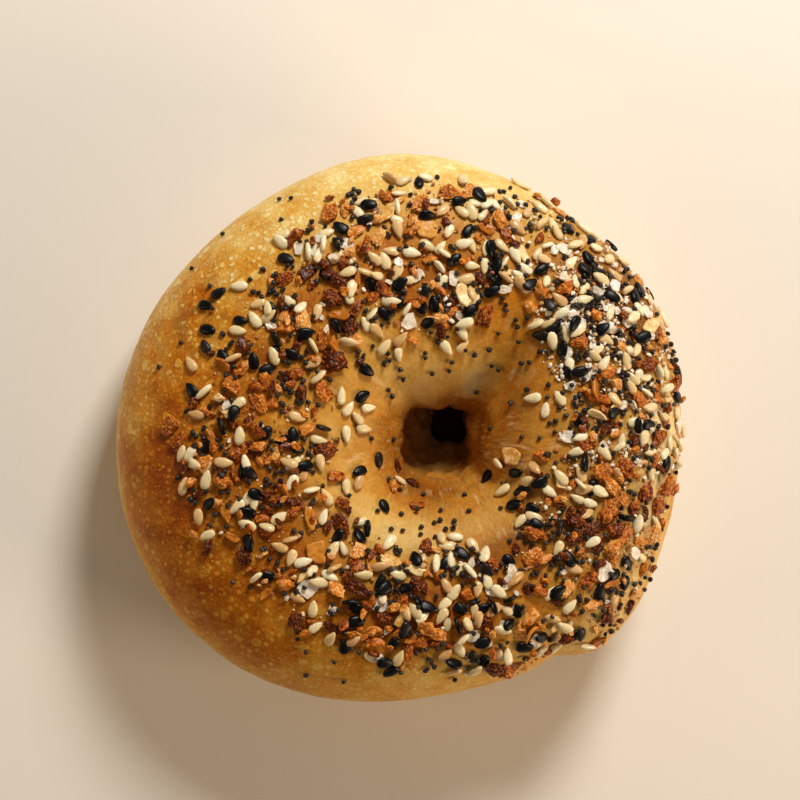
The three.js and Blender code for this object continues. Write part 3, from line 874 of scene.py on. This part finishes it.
for kind, found in LONE.items():
    for around, across, turned in found:
        size = np.array(LONE_SIZE[kind]) * rng.uniform(0.88, 1.06)
        lay(kind, seat(around, across, turned), size, rng.random(), rng.normal(0, LEAN))
print("lone pieces:", {kind: len(found) for kind, found in LONE.items()})

# %% [markdown]
# The rest of the mix is too fine for the solid. It falls in the same band, in loose clusters,
# largest kinds first. Of a few places drawn, a piece takes the one where the pile is lowest,
# as a rolling seed does, so the crust is covered evenly before anything heaps up.

# %% The rest of the mix
FILL = [                            # kind, count, clustering, places tried, stray share
    ("onion", 75, 0.25, 4, 0.0),
    ("chip", 44, 0.2, 4, 0.0),
    ("salt", 90, 0.35, 3, 0.0),
    ("sesame", 195, 0.3, 4, 0.0),
    ("black", 78, 0.55, 4, 0.0),
    ("onion", 195, 0.4, 3, 0.0),
    ("poppy", 610, 0.85, 1, 0.006),
    ("dust", 950, 0.7, 1, 0.0),
]
FARTHEST = 0.95                     # no piece falls nearer to the outline
STRAY = (0.12, 0.9)                 # across the ring, where single seeds also fall off the band
CLUSTER = 6.5                       # millimetres from one cluster to the next
ROLLS_OFF = 0.8                     # the smallest roll off all that is this high, in millimetres
CLUMP = 9.0                         # the same for the clumps that all kinds share
CLUMPED = 0.6                       # how much less falls between those clumps


def patch(point, size, layer):
    """Between 0 and 1, in patches of a size in mm that differ from layer to layer."""
    spot = Vector((point[0] / size, point[1] / size, 3.7 * layer))
    return float(smooth(-0.25, 0.35, noise.noise(spot)))


def clustered(kind, clustering, around, across):
    """The share that falls at a place, for the kind's own clusters and the clumps of all."""
    point = crust_point(around, section_at(across))
    own = 1 - clustering + clustering * patch(point, CLUSTER, list(EMBEDDED).index(kind))
    return own * (1 - CLUMPED + CLUMPED * patch(point, CLUMP, 20))


def fall(kind, clustering, tries, stray):
    """A place where a piece of this kind comes to lie: the barest of those tried."""
    found = []
    while len(found) < tries:
        around, across = 360 * rng.random(), FARTHEST * rng.random()
        chance = band_cover(around, across) * round_the_ring(SHARE[kind], around)
        chance = chance * clustered(kind, clustering, around, across)
        chance = chance + stray * (STRAY[0] < across < STRAY[1])
        if rng.random() < chance:
            point = crust_point(around, section_at(across))
            i, j = ((point[:2] + PILE_HALF) / CELL).astype(int)
            if kind in ("poppy", "dust") and rng.random() < pile[i, j] / ROLLS_OFF:
                continue
            found.append((pile[i - 3:i + 4, j - 3:j + 4].mean(), around, across))
    _, around, across = min(found)
    return seat(around, across, 360 * rng.random())


SEED_SIZE = {"sesame": (3.35, 1.8, 0.95), "black": (3.2, 2.1, 0.85), "poppy": (1.12, 0.95, 0.85)}
ON_EDGE = {"share": 0.22, "roll": 70}   # how many seeds stand on edge, and how steeply
CRUMB_LONG = (3.4, 2.1)             # the onion crumbs of the first layer, and the later ones
LOOSE = {                           # shortest, how much longer, width for 1 of length, leaning
    "dust": (0.35, 0.7, (0.6, 1), 0), "salt": (1.0, 1.8, (0.6, 0.95), 18),
    "chip": (2.4, 2.2, (0.4, 0.7), 16),
}
CHIP_HIGH = 1.0


def size_and_roll(kind, layer):
    """A piece's length, width and height in mm, and its roll: 0 flat, 90 on edge."""
    vary = 0.86 + 0.26 * rng.random()
    on_edge = rng.random() < ON_EDGE["share"]
    roll = rng.normal(0, 9) + (ON_EDGE["roll"] if on_edge else 0) * rng.choice((-1, 1))
    if kind == "poppy":
        return np.array(SEED_SIZE[kind]) * (0.8 + 0.3 * rng.random()), rng.uniform(-60, 60)
    if kind in SEED_SIZE:
        return np.array(SEED_SIZE[kind]) * vary, roll
    if kind == "onion":
        long = CRUMB_LONG[layer > 0] * (0.7 + 0.5 * rng.random())
        wide = long * rng.uniform(0.55, 0.85)
        return np.array([long, wide, wide * rng.uniform(0.55, 0.9)]), rng.normal(0, 14)
    shortest, longer, width, leaning = LOOSE[kind]
    long = shortest + longer * rng.random() ** 2
    wide = long * rng.uniform(*width)
    if kind == "dust":
        return np.array([long, wide, long * rng.uniform(0.4, 0.8)]), leaning
    high = CHIP_HIGH if kind == "chip" else 0.4 + 0.14 * long
    return np.array([long, wide, high]), rng.normal(0, leaning)


for layer, (kind, count, clustering, tries, stray) in enumerate(FILL):
    for _ in range(count):
        place = fall(kind, clustering, tries, stray)
        size, roll = size_and_roll(kind, layer)
        tone = rng.random()
        if kind == "dust":              # mostly salt on the right, mostly toasted elsewhere
            x, y, _ = place[0]
            tone = tone ** (1.8 - 1.3 * bump(math.atan2(y, x) / DEGREE, 30, 45))
        lay(kind, place, size, tone, roll)
print("on the crust:", {kind: len(found) for kind, found in pieces.items()})

# %% [markdown]
# ## The forms of the toppings
# Every form is made once in a box of size 1, in a few variants, and is scaled to each piece's
# size. Seeds are closed forms along X with a pole at each end. Crumbs are round lumps broken
# by flat cuts and then roughened, and flakes are thin bent plates with a chipped outline.


# %% Seeds
def boxed(points):
    """Points moved and scaled to fill a box of size 1 about the origin."""
    low, high = points.min(0), points.max(0)
    return (points - (low + high) / 2) / (high - low)


def seed_form(tip, bend, ridge, full=0.8, edge=2.5, sides=10, stations=(20, 48, 84, 120, 152)):
    """A seed along X. tip draws the +X end to a point, bend bows it, ridge raises its back.
    The lower full and the higher edge are, the flatter its faces and the sharper its rim."""
    points, faces = [(0.5, 0, 0)], []
    turns = np.arange(sides) * 360 / sides
    for station in stations:
        c, s = math.cos(station * DEGREE), math.sin(station * DEGREE)
        half = 0.5 * s * (1 - tip * c)
        y = half * power(np.cos(turns * DEGREE), 2 / edge)
        z = 0.5 * s ** full * power(np.sin(turns * DEGREE), 2 / edge) + ridge * bump(turns, 90, 40)
        points += np.column_stack([np.full(sides, 0.5 * c), y + bend * (1 - c * c), z]).tolist()
    points.append((-0.5, 0, 0))
    for side in range(sides):
        after = (side + 1) % sides
        faces.append((0, 1 + side, 1 + after))
        for station in range(len(stations) - 1):
            a, b = 1 + station * sides, 1 + (station + 1) * sides
            faces.append((a + side, b + side, b + after, a + after))
        last = 1 + (len(stations) - 1) * sides
        faces.append((last + side, len(points) - 1, last + after))
    return boxed(np.array(points)), faces, np.ones(len(points))


# %% Crumbs
def crumb_form(variant, level, cuts=7, lumps=0.1):
    """A broken, crusty lump: a ball with slow unevenness, flat cuts and sugary grains."""
    made = bmesh.new()
    bmesh.ops.create_icosphere(made, subdivisions=level, radius=0.5)
    points = np.array([vertex.co for vertex in made.verts])
    faces = [[vertex.index for vertex in face.verts] for face in made.faces]
    made.free()
    own = np.random.default_rng(SEED + variant)
    shift = Vector(own.uniform(-50, 50, 3))
    points *= np.array([1 + 0.55 * noise.noise(Vector(p) * 2.6 + shift) for p in points])[:, None]
    for normal in own.normal(size=(cuts, 3)):
        normal /= np.linalg.norm(normal)
        beyond = np.maximum(0, points @ normal - own.uniform(0.2, 0.36))
        points -= 0.85 * beyond[:, None] * normal
    rough = []
    for p in points:
        spot = Vector(p) * 5.6 + shift
        nearest = noise.voronoi(spot)[0]
        rough.append(lumps * (nearest[1] - nearest[0] - 0.3) + 0.6 * lumps * noise.noise(spot * 2.1))
    rough = np.array(rough)
    points += rough[:, None] * points / np.linalg.norm(points, axis=1)[:, None]
    grains = smooth(-0.25 * lumps, 0.35 * lumps, rough) if lumps else np.ones(len(points))
    return boxed(points), faces, grains


# %% Flakes and plates
def plate_form(variant, corners, chip=0.16, bend=0.3, waves=0.12, thick=0.35, around_steps=28, rings=5):
    """A thin plate with a chipped outline of some corners, bent one way and a little wavy."""
    own = np.random.default_rng(SEED + 100 + variant)
    shift = Vector(own.uniform(-50, 50, 3))
    ways = np.arange(around_steps) * 360 / around_steps
    corner_ways = (np.arange(corners) + own.uniform(-0.3, 0.3, corners)) * 360 / corners
    corner_out = 0.5 * (1 + own.uniform(-chip, chip, corners))
    xs, ys = corner_out * np.cos(corner_ways * DEGREE), corner_out * np.sin(corner_ways * DEGREE)
    outline = []
    for way in ways:                # the straight side between two corners, met along this way
        c, s = math.cos(way * DEGREE), math.sin(way * DEGREE)
        found = []
        for a in range(corners):
            b = (a + 1) % corners
            cross = (xs[b] - xs[a]) * s - (ys[b] - ys[a]) * c
            if abs(cross) > 1e-9:
                share = (ys[a] * c - xs[a] * s) / cross
                reach = (xs[a] + (xs[b] - xs[a]) * share) * c + (ys[a] + (ys[b] - ys[a]) * share) * s
                if -1e-6 <= share <= 1 + 1e-6 and reach > 0:
                    found.append(reach)
        rough = 1 + 0.4 * chip * noise.noise(Vector((3 * c, 3 * s, 0)) + shift)
        outline.append(rough * max(found))
    points, faces = [], []
    for side in (1, -1):
        points.append((0, 0, side))
        for ring in range(1, rings + 1):
            for way, out in zip(ways * DEGREE, outline):
                reach = ring / rings * out
                points.append((reach * math.cos(way), reach * math.sin(way), side))
    half = 1 + rings * around_steps

    def at(face, ring, step):
        return face * half + (0 if ring == 0 else 1 + (ring - 1) * around_steps + step % around_steps)

    for step in range(around_steps):
        faces.append((at(0, 0, 0), at(0, 1, step), at(0, 1, step + 1)))
        faces.append((at(1, 0, 0), at(1, 1, step + 1), at(1, 1, step)))
        for ring in range(1, rings):
            top = [at(0, ring + out, step + on) for out, on in ((0, 0), (1, 0), (1, 1), (0, 1))]
            faces.append(top)
            faces.append([half + corner for corner in reversed(top)])
        faces.append([at(face, rings, step + on) for face, on in ((0, 0), (1, 0), (1, 1), (0, 1))])
    shaped = []
    for x, y, side in points:
        edge = math.hypot(x, y) / 0.5
        uneven = noise.noise(Vector((4 * x, 4 * y, side)) + shift)
        middle = bend * (4 * x * x - 0.3) + waves * noise.noise(Vector((2.5 * x, 2.5 * y, 0)) + shift)
        shaped.append((x, y, middle + 0.5 * thick * side * (1 - 0.25 * edge ** 4 + 0.35 * uneven)))
    return boxed(np.array(shaped)), faces, np.ones(len(shaped))


# %% All variants
FINE_CRUMBS = 6                     # the first crumb forms are finer, for the large pieces
LARGE_CRUMB = 3.6                   # millimetres from which a crumb is large
SESAME_FORMS = [                    # tip, bend and ridge
    (0.3, 0.0, 0.05), (0.42, 0.05, 0.08), (0.2, -0.04, 0.04), (0.36, 0.02, 0.12), (0.5, -0.02, 0.06),
]
BLACK_FORMS = [                     # tip, bend, ridge, full and edge
    (0.3, 0.0, 0.02, 0.5, 3.2), (0.24, 0.06, 0.04, 0.5, 3.0), (0.36, -0.03, 0.0, 0.45, 3.4),
    (0.18, 0.02, 0.06, 0.55, 2.8),
]
POPPY_FORMS = [(0.1, 0.16), (0.2, 0.22), (0.0, 0.12)]   # tip and bend
FORMS = {
    "sesame": [seed_form(*shape) for shape in SESAME_FORMS],
    "black": [seed_form(*shape) for shape in BLACK_FORMS],
    "poppy": [seed_form(*shape, 0.04, 0.8, 2.0, 8, (28, 70, 110, 152)) for shape in POPPY_FORMS],
    "onion": [crumb_form(variant, 4, 4 + variant % 5, 0.12) for variant in range(FINE_CRUMBS)]
    + [crumb_form(variant, 3, 5 + variant % 4, 0.05 + 0.02 * (variant % 3))
       for variant in range(FINE_CRUMBS, 18)],
    "chip": [plate_form(variant, 4 + variant % 4, chip=0.24, bend=0.2 + 0.12 * (variant % 3), thick=0.5)
             for variant in range(8)],
    "salt": [plate_form(20 + variant, 5 + variant % 3, chip=0.3, bend=0.1, waves=0.3, thick=0.5,
                        around_steps=20, rings=3) for variant in range(7)],
    "dust": [crumb_form(60 + variant, 1, 3, 0.0) for variant in range(4)],
}
for kind, forms in FORMS.items():
    print(kind, "forms:", len(forms), "of", [len(faces) for _, faces, _ in forms][:8], "faces")

# %% [markdown]
# ## Placing them with geometry nodes
# Every kind becomes one mesh. Its pieces are points that carry their turn, size, tone and
# variant as attributes. The tree puts the chosen variant on each point, makes the copies real
# and gives them their finish. The tone stays on the mesh for the material to read.

# %% The placing tree
place_tree, given, result = new_tree("place_pieces", [
    ("Variants", "NodeSocketCollection", None),
    ("Finish", "NodeSocketMaterial", None),
])
turn, size, variant = [
    add(place_tree, NAMED, {"Name": name}, data_type=kind)
    for name, kind in (("turn", "FLOAT_VECTOR"), ("size", "FLOAT_VECTOR"), ("variant", "INT"))
]
variants = add(place_tree, "GeometryNodeCollectionInfo", {
    "Collection": given.outputs["Variants"], "Separate Children": True, "Reset Children": True,
})
placed = add(place_tree, "GeometryNodeInstanceOnPoints", {
    "Points": given.outputs["Geometry"], "Instance": variants, "Pick Instance": True,
    "Instance Index": variant, "Scale": size,
    "Rotation": add(place_tree, "FunctionNodeEulerToRotation", [turn]),
})
real = add(place_tree, "GeometryNodeRealizeInstances", [placed])
finished = add(place_tree, "GeometryNodeSetMaterial", {
    "Geometry": real, "Material": given.outputs["Finish"],
})
connect(place_tree, result, [finished])
print("placing tree:", len(place_tree.nodes), "nodes")


def place_kind(name, kind, finish, smooth_faces=True):
    """One mesh of all the pieces of a kind, at true size."""
    forms = bpy.data.collections.new(kind + "_forms")
    bpy.context.scene.collection.children.link(forms)
    for number, (points, faces, grains) in enumerate(FORMS[kind]):
        form = new_object(f"{kind}_form_{number:02d}", points / MM, faces, smooth_faces)
        store(form, "own", points, "FLOAT_VECTOR", "vector")
        store(form, "grains", grains)
        bpy.context.scene.collection.objects.unlink(form)
        forms.objects.link(form)
    centres, turns, sizes, tones = zip(*pieces[kind])
    made = new_object(name, centres, [])
    chosen = rng.integers(0, len(FORMS[kind]), len(centres))
    if kind == "onion":
        large = np.array([size[0] > LARGE_CRUMB for size in sizes])
        coarse = FINE_CRUMBS + chosen % (len(FORMS[kind]) - FINE_CRUMBS)
        chosen = np.where(large, chosen % FINE_CRUMBS, coarse)
    store(made, "turn", [tuple(turn) for turn in turns], "FLOAT_VECTOR", "vector")
    store(made, "size", [size * MM for size in sizes], "FLOAT_VECTOR", "vector")
    store(made, "tone", tones)
    store(made, "variant", chosen, "INT")
    apply_tree(made, place_tree, {"Variants": forms, "Finish": finish})
    for form in list(forms.objects):
        bpy.data.objects.remove(form)
    bpy.data.collections.remove(forms)
    made.data.calc_loop_triangles()
    print(name, "-", len(centres), "pieces,", len(made.data.loop_triangles), "triangles")
    return made


# %% [markdown]
# ## The finishes of the toppings
# Each kind is a plant part with its own skin, so each gets its own finish. All read the tone
# of the piece, so no two seeds are quite the same colour, and the piece's own coordinates, so
# that tips and edges differ from the middle.


# %% The start of every topping's finish
def topping_finish(name):
    """A material, with the tone of the piece and the coordinates that its patterns read."""
    material, tree, shader = new_material(name)
    tone = add(tree, ATTRIBUTE, attribute_name="tone").outputs["Fac"]
    coords = add(tree, COORDINATES).outputs["Object"]
    return material, tree, shader, tone, coords


# %% Material: hulled sesame
# Hulled seed: ivory to light tan, oily, with light entering the flesh; the tip is toasted.
hulled_sesame, tree, shader, tone, coords = topping_finish("hulled_sesame")
ivory = add(tree, RAMP, [tone], [
    (0.0, "#dcc592"), (0.3, "#ecdfb4"), (0.62, "#f5efd2"), (0.82, "#e4c590"), (1.0, "#c8985e"),
])
own = add(tree, ATTRIBUTE, attribute_name="own").outputs["Vector"]
tip = add(tree, MAP, [add(tree, "ShaderNodeSeparateXYZ", [own]), 0.25, 0.5, 0.0, 0.5])
toasted = add(tree, MIX, {0: tip, 6: ivory, 7: colour("#caa36a")}, data_type="RGBA")
blotches = add(tree, NOISE, {"Vector": coords, "Scale": 1 / (0.8 * MM)})
blotches = add(tree, MAP, [blotches, 0.35, 0.7, 0.0, 0.4])
fine = add(tree, NOISE, {"Vector": coords, "Scale": 1 / (0.22 * MM)})
connect(tree, shader, {
    "Base Color": add(tree, MIX, {0: blotches, 6: toasted, 7: colour("#dcbf88")}, data_type="RGBA"),
    "Normal": add(tree, BUMP, {"Strength": 0.35, "Distance": 0.05 * MM, "Height": fine}),
    "Roughness": 0.25, "IOR": 1.47,
    "Subsurface Weight": 0.22, "Subsurface Scale": 0.6 * MM, "Subsurface Radius": (1.0, 0.7, 0.4),
})
print("hulled sesame:", len(tree.nodes), "nodes")

# %% Material: black sesame hull
# Unhulled seed: a thin blue-black hull with a waxy sheen and fine wrinkles.
black_hull, tree, shader, tone, coords = topping_finish("black_sesame_hull")
hull = add(tree, RAMP, [tone], [
    (0.0, "#030405"), (0.5, "#06080a"), (0.75, "#0b0d10"), (0.9, "#171212"), (1.0, "#2a221f"),
])
# bluish-grey patches, at random over the hull
bluish_patches = add(tree, NOISE, {"Vector": coords, "Scale": 1 / (0.5 * MM), "Detail": 3.0})
bluish_patches = add(tree, MAP, [bluish_patches, 0.55, 0.8])
fine = add(tree, NOISE, {"Vector": coords, "Scale": 1 / (0.2 * MM)})
connect(tree, shader, {
    "Base Color": add(tree, MIX, {0: bluish_patches, 6: hull, 7: colour("#16191c")}, data_type="RGBA"),
    "Normal": add(tree, BUMP, {"Strength": 0.5, "Distance": 0.05 * MM, "Height": fine}),
    "Roughness": 0.33, "IOR": 1.48, "Specular IOR Level": 0.23,
})
print("black sesame hull:", len(tree.nodes), "nodes")

# %% Material: poppy seed coat
# A netted, slate-blue coat: tiny dimples catch the light, so it looks dusty, not glossy.
poppy_coat, tree, shader, tone, coords = topping_finish("poppy_seed_coat")
slate = add(tree, RAMP, [tone], [
    (0.0, "#090504"), (0.4, "#130d0b"), (0.75, "#221b18"), (1.0, "#3c332d"),
])
net = add(tree, CELLS, {"Vector": coords, "Scale": 1 / (0.2 * MM)})
ridges = add(tree, MAP, [net, 0.3, 0.6, 0.0, 0.5])
connect(tree, shader, {
    "Base Color": add(tree, MIX, {0: ridges, 6: slate, 7: colour("#443d39")}, data_type="RGBA"),
    "Normal": add(tree, BUMP, {"Strength": 0.7, "Distance": 0.06 * MM, "Height": net}),
    "Roughness": 0.3, "IOR": 1.46, "Specular IOR Level": 0.28,
})
print("poppy seed coat:", len(tree.nodes), "nodes")


# %% Material: toasted onion and garlic
# Dried, minced onion, toasted brown in the oven: brittle, sugary and uneven, from burnt to amber.
# The hollows between its grains are drawn darker and the tips of the grains paler, as painted
# shade and light, and its pale specks are partly sugary crystals and partly painted glints. The
# thin garlic chips are glassier and more even.
def toasted_plant(name, stops, speck_and_glint_colour, lump, grainy, roughness):
    material, tree, shader, tone, coords = topping_finish(name)
    shade = add(tree, MATH, [tone, 0.2], operation="SUBTRACT")
    lumps = add(tree, NOISE, {"Vector": coords, "Scale": 1 / lump, "Detail": 3.0})
    shade = add(tree, MATH, [lumps, 0.4, shade], operation="MULTIPLY_ADD")
    grains = add(tree, ATTRIBUTE, attribute_name="grains").outputs["Fac"]
    # painted shade and light: darker in the hollows between grains, paler on their tips
    grain_light_and_shade = add(tree, MAP, {"Value": grains, "To Min": -0.8 * grainy, "To Max": 0.9 * grainy})
    pits = add(tree, NOISE, {"Vector": coords, "Scale": 1 / (0.6 * MM)})
    pits = add(tree, MAP, [pits, 0.35, 0.65, -0.5 * grainy, 0.1])
    for darker in (grain_light_and_shade, pits):
        shade = add(tree, MATH, [shade, darker])
    # pale specks: partly sugary crystals, partly painted glints
    sugar_and_glints = add(tree, NOISE, {"Vector": coords, "Scale": 1 / (0.3 * MM), "Detail": 1.0})
    sugar_and_glints = add(tree, MAP, [sugar_and_glints, 0.67, 0.75, 0.0, 0.4])
    toasted = add(tree, RAMP, [shade], stops)
    rough = add(tree, NOISE, {"Vector": coords, "Scale": 1 / (0.32 * MM), "Detail": 3.0})
    connect(tree, shader, {
        "Base Color": add(tree, MIX, {0: sugar_and_glints, 6: toasted, 7: colour(speck_and_glint_colour)}, data_type="RGBA"),
        "Normal": add(tree, BUMP, {
            "Strength": 0.3 + 0.8 * grainy, "Distance": 0.1 * MM, "Height": rough,
        }),
        "Roughness": roughness, "IOR": 1.5, "Specular IOR Level": 0.26, "Subsurface Weight": 0.1,
        "Subsurface Scale": 0.6 * MM, "Subsurface Radius": (1.0, 0.55, 0.25),
    })
    print(name, "-", len(tree.nodes), "nodes")
    return material


toasted_onion = toasted_plant("toasted_onion", [
    (0.0, "#4a1902"), (0.15, "#763204"), (0.35, "#a6520c"), (0.6, "#cc7a24"), (0.85, "#e09e4e"),
    (1.0, "#edbe82"),
], "#f6dcb0", 1.1 * MM, 0.3, 0.36)
dried_garlic = toasted_plant("dried_garlic", [
    (0.05, "#984a0e"), (0.45, "#c2761e"), (0.8, "#dc9e44"), (1.0, "#efd29a"),
], "#f6dcaa", 1.2 * MM, 0.16, 0.3)

# %% Material: coarse salt
# Pressed salt flakes: cloudy crystal, whiter where it is crazed, with a warm cast from the crust.
flake_salt, tree, shader = new_material("flake_salt")
coords = add(tree, COORDINATES).outputs["Object"]
crazed = add(tree, NOISE, {"Vector": coords, "Scale": 1 / (0.9 * MM), "Detail": 3.0})
connect(tree, shader, {
    "Base Color": add(tree, RAMP, [crazed], [(0.3, "#dccdb6"), (0.55, "#eee2d0"), (0.8, "#fbf6ec")]),
    "Normal": add(tree, BUMP, {"Strength": 0.5, "Distance": 0.1 * MM, "Height": crazed}),
    "Roughness": 0.24, "IOR": 1.54,
    "Subsurface Weight": 0.35, "Subsurface Scale": 1.0 * MM, "Subsurface Radius": (1.0, 0.9, 0.8),
})
print("flake salt:", len(tree.nodes), "nodes")

# %% Material: fine crumbs
# Powder of garlic, salt and sesame bran: mostly white and straw, a few toasted brown.
crumb_powder, tree, shader = new_material("garlic_and_salt_powder")
tone = add(tree, ATTRIBUTE, attribute_name="tone").outputs["Fac"]
connect(tree, shader, {
    "Base Color": add(tree, RAMP, [tone], [
        (0.0, "#8a4616"), (0.25, "#c07c38"), (0.45, "#d8b078"), (0.7, "#e8dabc"), (1.0, "#f8f3e8"),
    ]),
    "Roughness": 0.5, "IOR": 1.5, "Subsurface Weight": 0.2, "Subsurface Scale": 0.4 * MM,
})
print("powder:", len(tree.nodes), "nodes")

# %% The toppings
toppings = [
    place_kind("white_sesame", "sesame", hulled_sesame),
    place_kind("black_sesame", "black", black_hull),
    place_kind("poppy_seeds", "poppy", poppy_coat),
    place_kind("onion_crumbs", "onion", toasted_onion, smooth_faces=False),
    place_kind("garlic_chips", "chip", dried_garlic),
    place_kind("salt_flakes", "salt", flake_salt, smooth_faces=False),
    place_kind("fine_crumbs", "dust", crumb_powder, smooth_faces=False),
]

# %% [markdown]
# ## Riding on the body
# The bagel is one body. Each piece rides on it and stands for the solid, which is hidden.

for piece in [bread, *toppings]:
    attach(piece, "root")
    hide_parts("bagel")

# %% [markdown]
# ## The studio
# A plain pale floor, with a painted dark shade where the bagel covers it, seen through the hole,
# and one broad soft light from behind the bagel, not very high, so that seeds throw short
# shadows. Two weak warm lights and an even sky fill them, as a room does.

# %% Floor
FLOOR_HALF = 900                    # millimetres
corners = [(-1, -1, 0), (1, -1, 0), (1, 1, 0), (-1, 1, 0)]
floor = new_object("floor", FLOOR_HALF * np.array(corners), [(0, 1, 2, 3)])
paper, tree, shader = new_material("matt_paper")
from_middle = add(tree, VECTOR_MATH, [add(tree, COORDINATES).outputs["Object"]], operation="LENGTH")
# painted shade: the floor is drawn dark within 20 to 30 mm of the middle, where it shows through the
# hole
painted_shade_under = add(tree, MAP, [from_middle, 20 * MM, 30 * MM])
connect(tree, shader, {
    "Base Color": add(tree, MIX, {
        0: painted_shade_under, 6: colour("#46281c"), 7: colour("#e9e6e1"),
    }, data_type="RGBA"),
    "Roughness": 0.9,
})
floor.data.materials.append(paper)
print("floor half width:", FLOOR_HALF, "mm")

# %% Light
scene = bpy.context.scene
world = bpy.data.worlds.new("studio")
world.use_nodes = True
background = world.node_tree.nodes["Background"]
connect(world.node_tree, background, {"Color": colour("#fff1e0"), "Strength": 0.13})
scene.world = world
LIGHT_DISTANCE = 0.6                # metres


def soft_light(name, toward, size, power_watts, tint):
    """A square area light that shines on the bagel from a direction."""
    lamp = bpy.data.lights.new(name, "AREA")
    lamp.size = size
    lamp.energy = power_watts
    lamp.color = colour(tint)[:3]
    made = bpy.data.objects.new(name, lamp)
    direction = Vector(toward).normalized()
    made.location = direction * LIGHT_DISTANCE
    made.rotation_euler = direction.to_track_quat("Z", "Y").to_euler()
    scene.collection.objects.link(made)


soft_light("key", (0.25, 0.78, 0.75), 0.16, 3.35, "#fff7ea")
soft_light("fill_right", (0.88, -0.4, 0.4), 0.25, 1.9, "#ffddb4")
soft_light("fill_left", (-0.85, -0.1, 0.45), 0.25, 0.6, "#ffdcae")
scene.view_settings.view_transform = "Standard"

# %% Camera
CAMERA_TILT = 8                     # degrees from straight down
CAMERA_DISTANCE = 420 * MM
CAMERA_AIM = Vector((0.15, 5.2, 14)) * MM
SENSOR = 36                         # millimetres
FOCAL_SHARE = 2205 / 800            # focal length, for 1 of picture width
camera_data = bpy.data.cameras.new("camera")
camera_data.sensor_width = SENSOR
camera_data.lens = SENSOR * FOCAL_SHARE
camera = bpy.data.objects.new("camera", camera_data)
tilt = CAMERA_TILT * DEGREE
camera.location = CAMERA_AIM + CAMERA_DISTANCE * Vector((-math.sin(tilt), 0, math.cos(tilt)))
camera.rotation_euler = (0, -tilt, 0)
scene.collection.objects.link(camera)
scene.camera = camera
print("camera at", [round(v, 3) for v in camera.location])
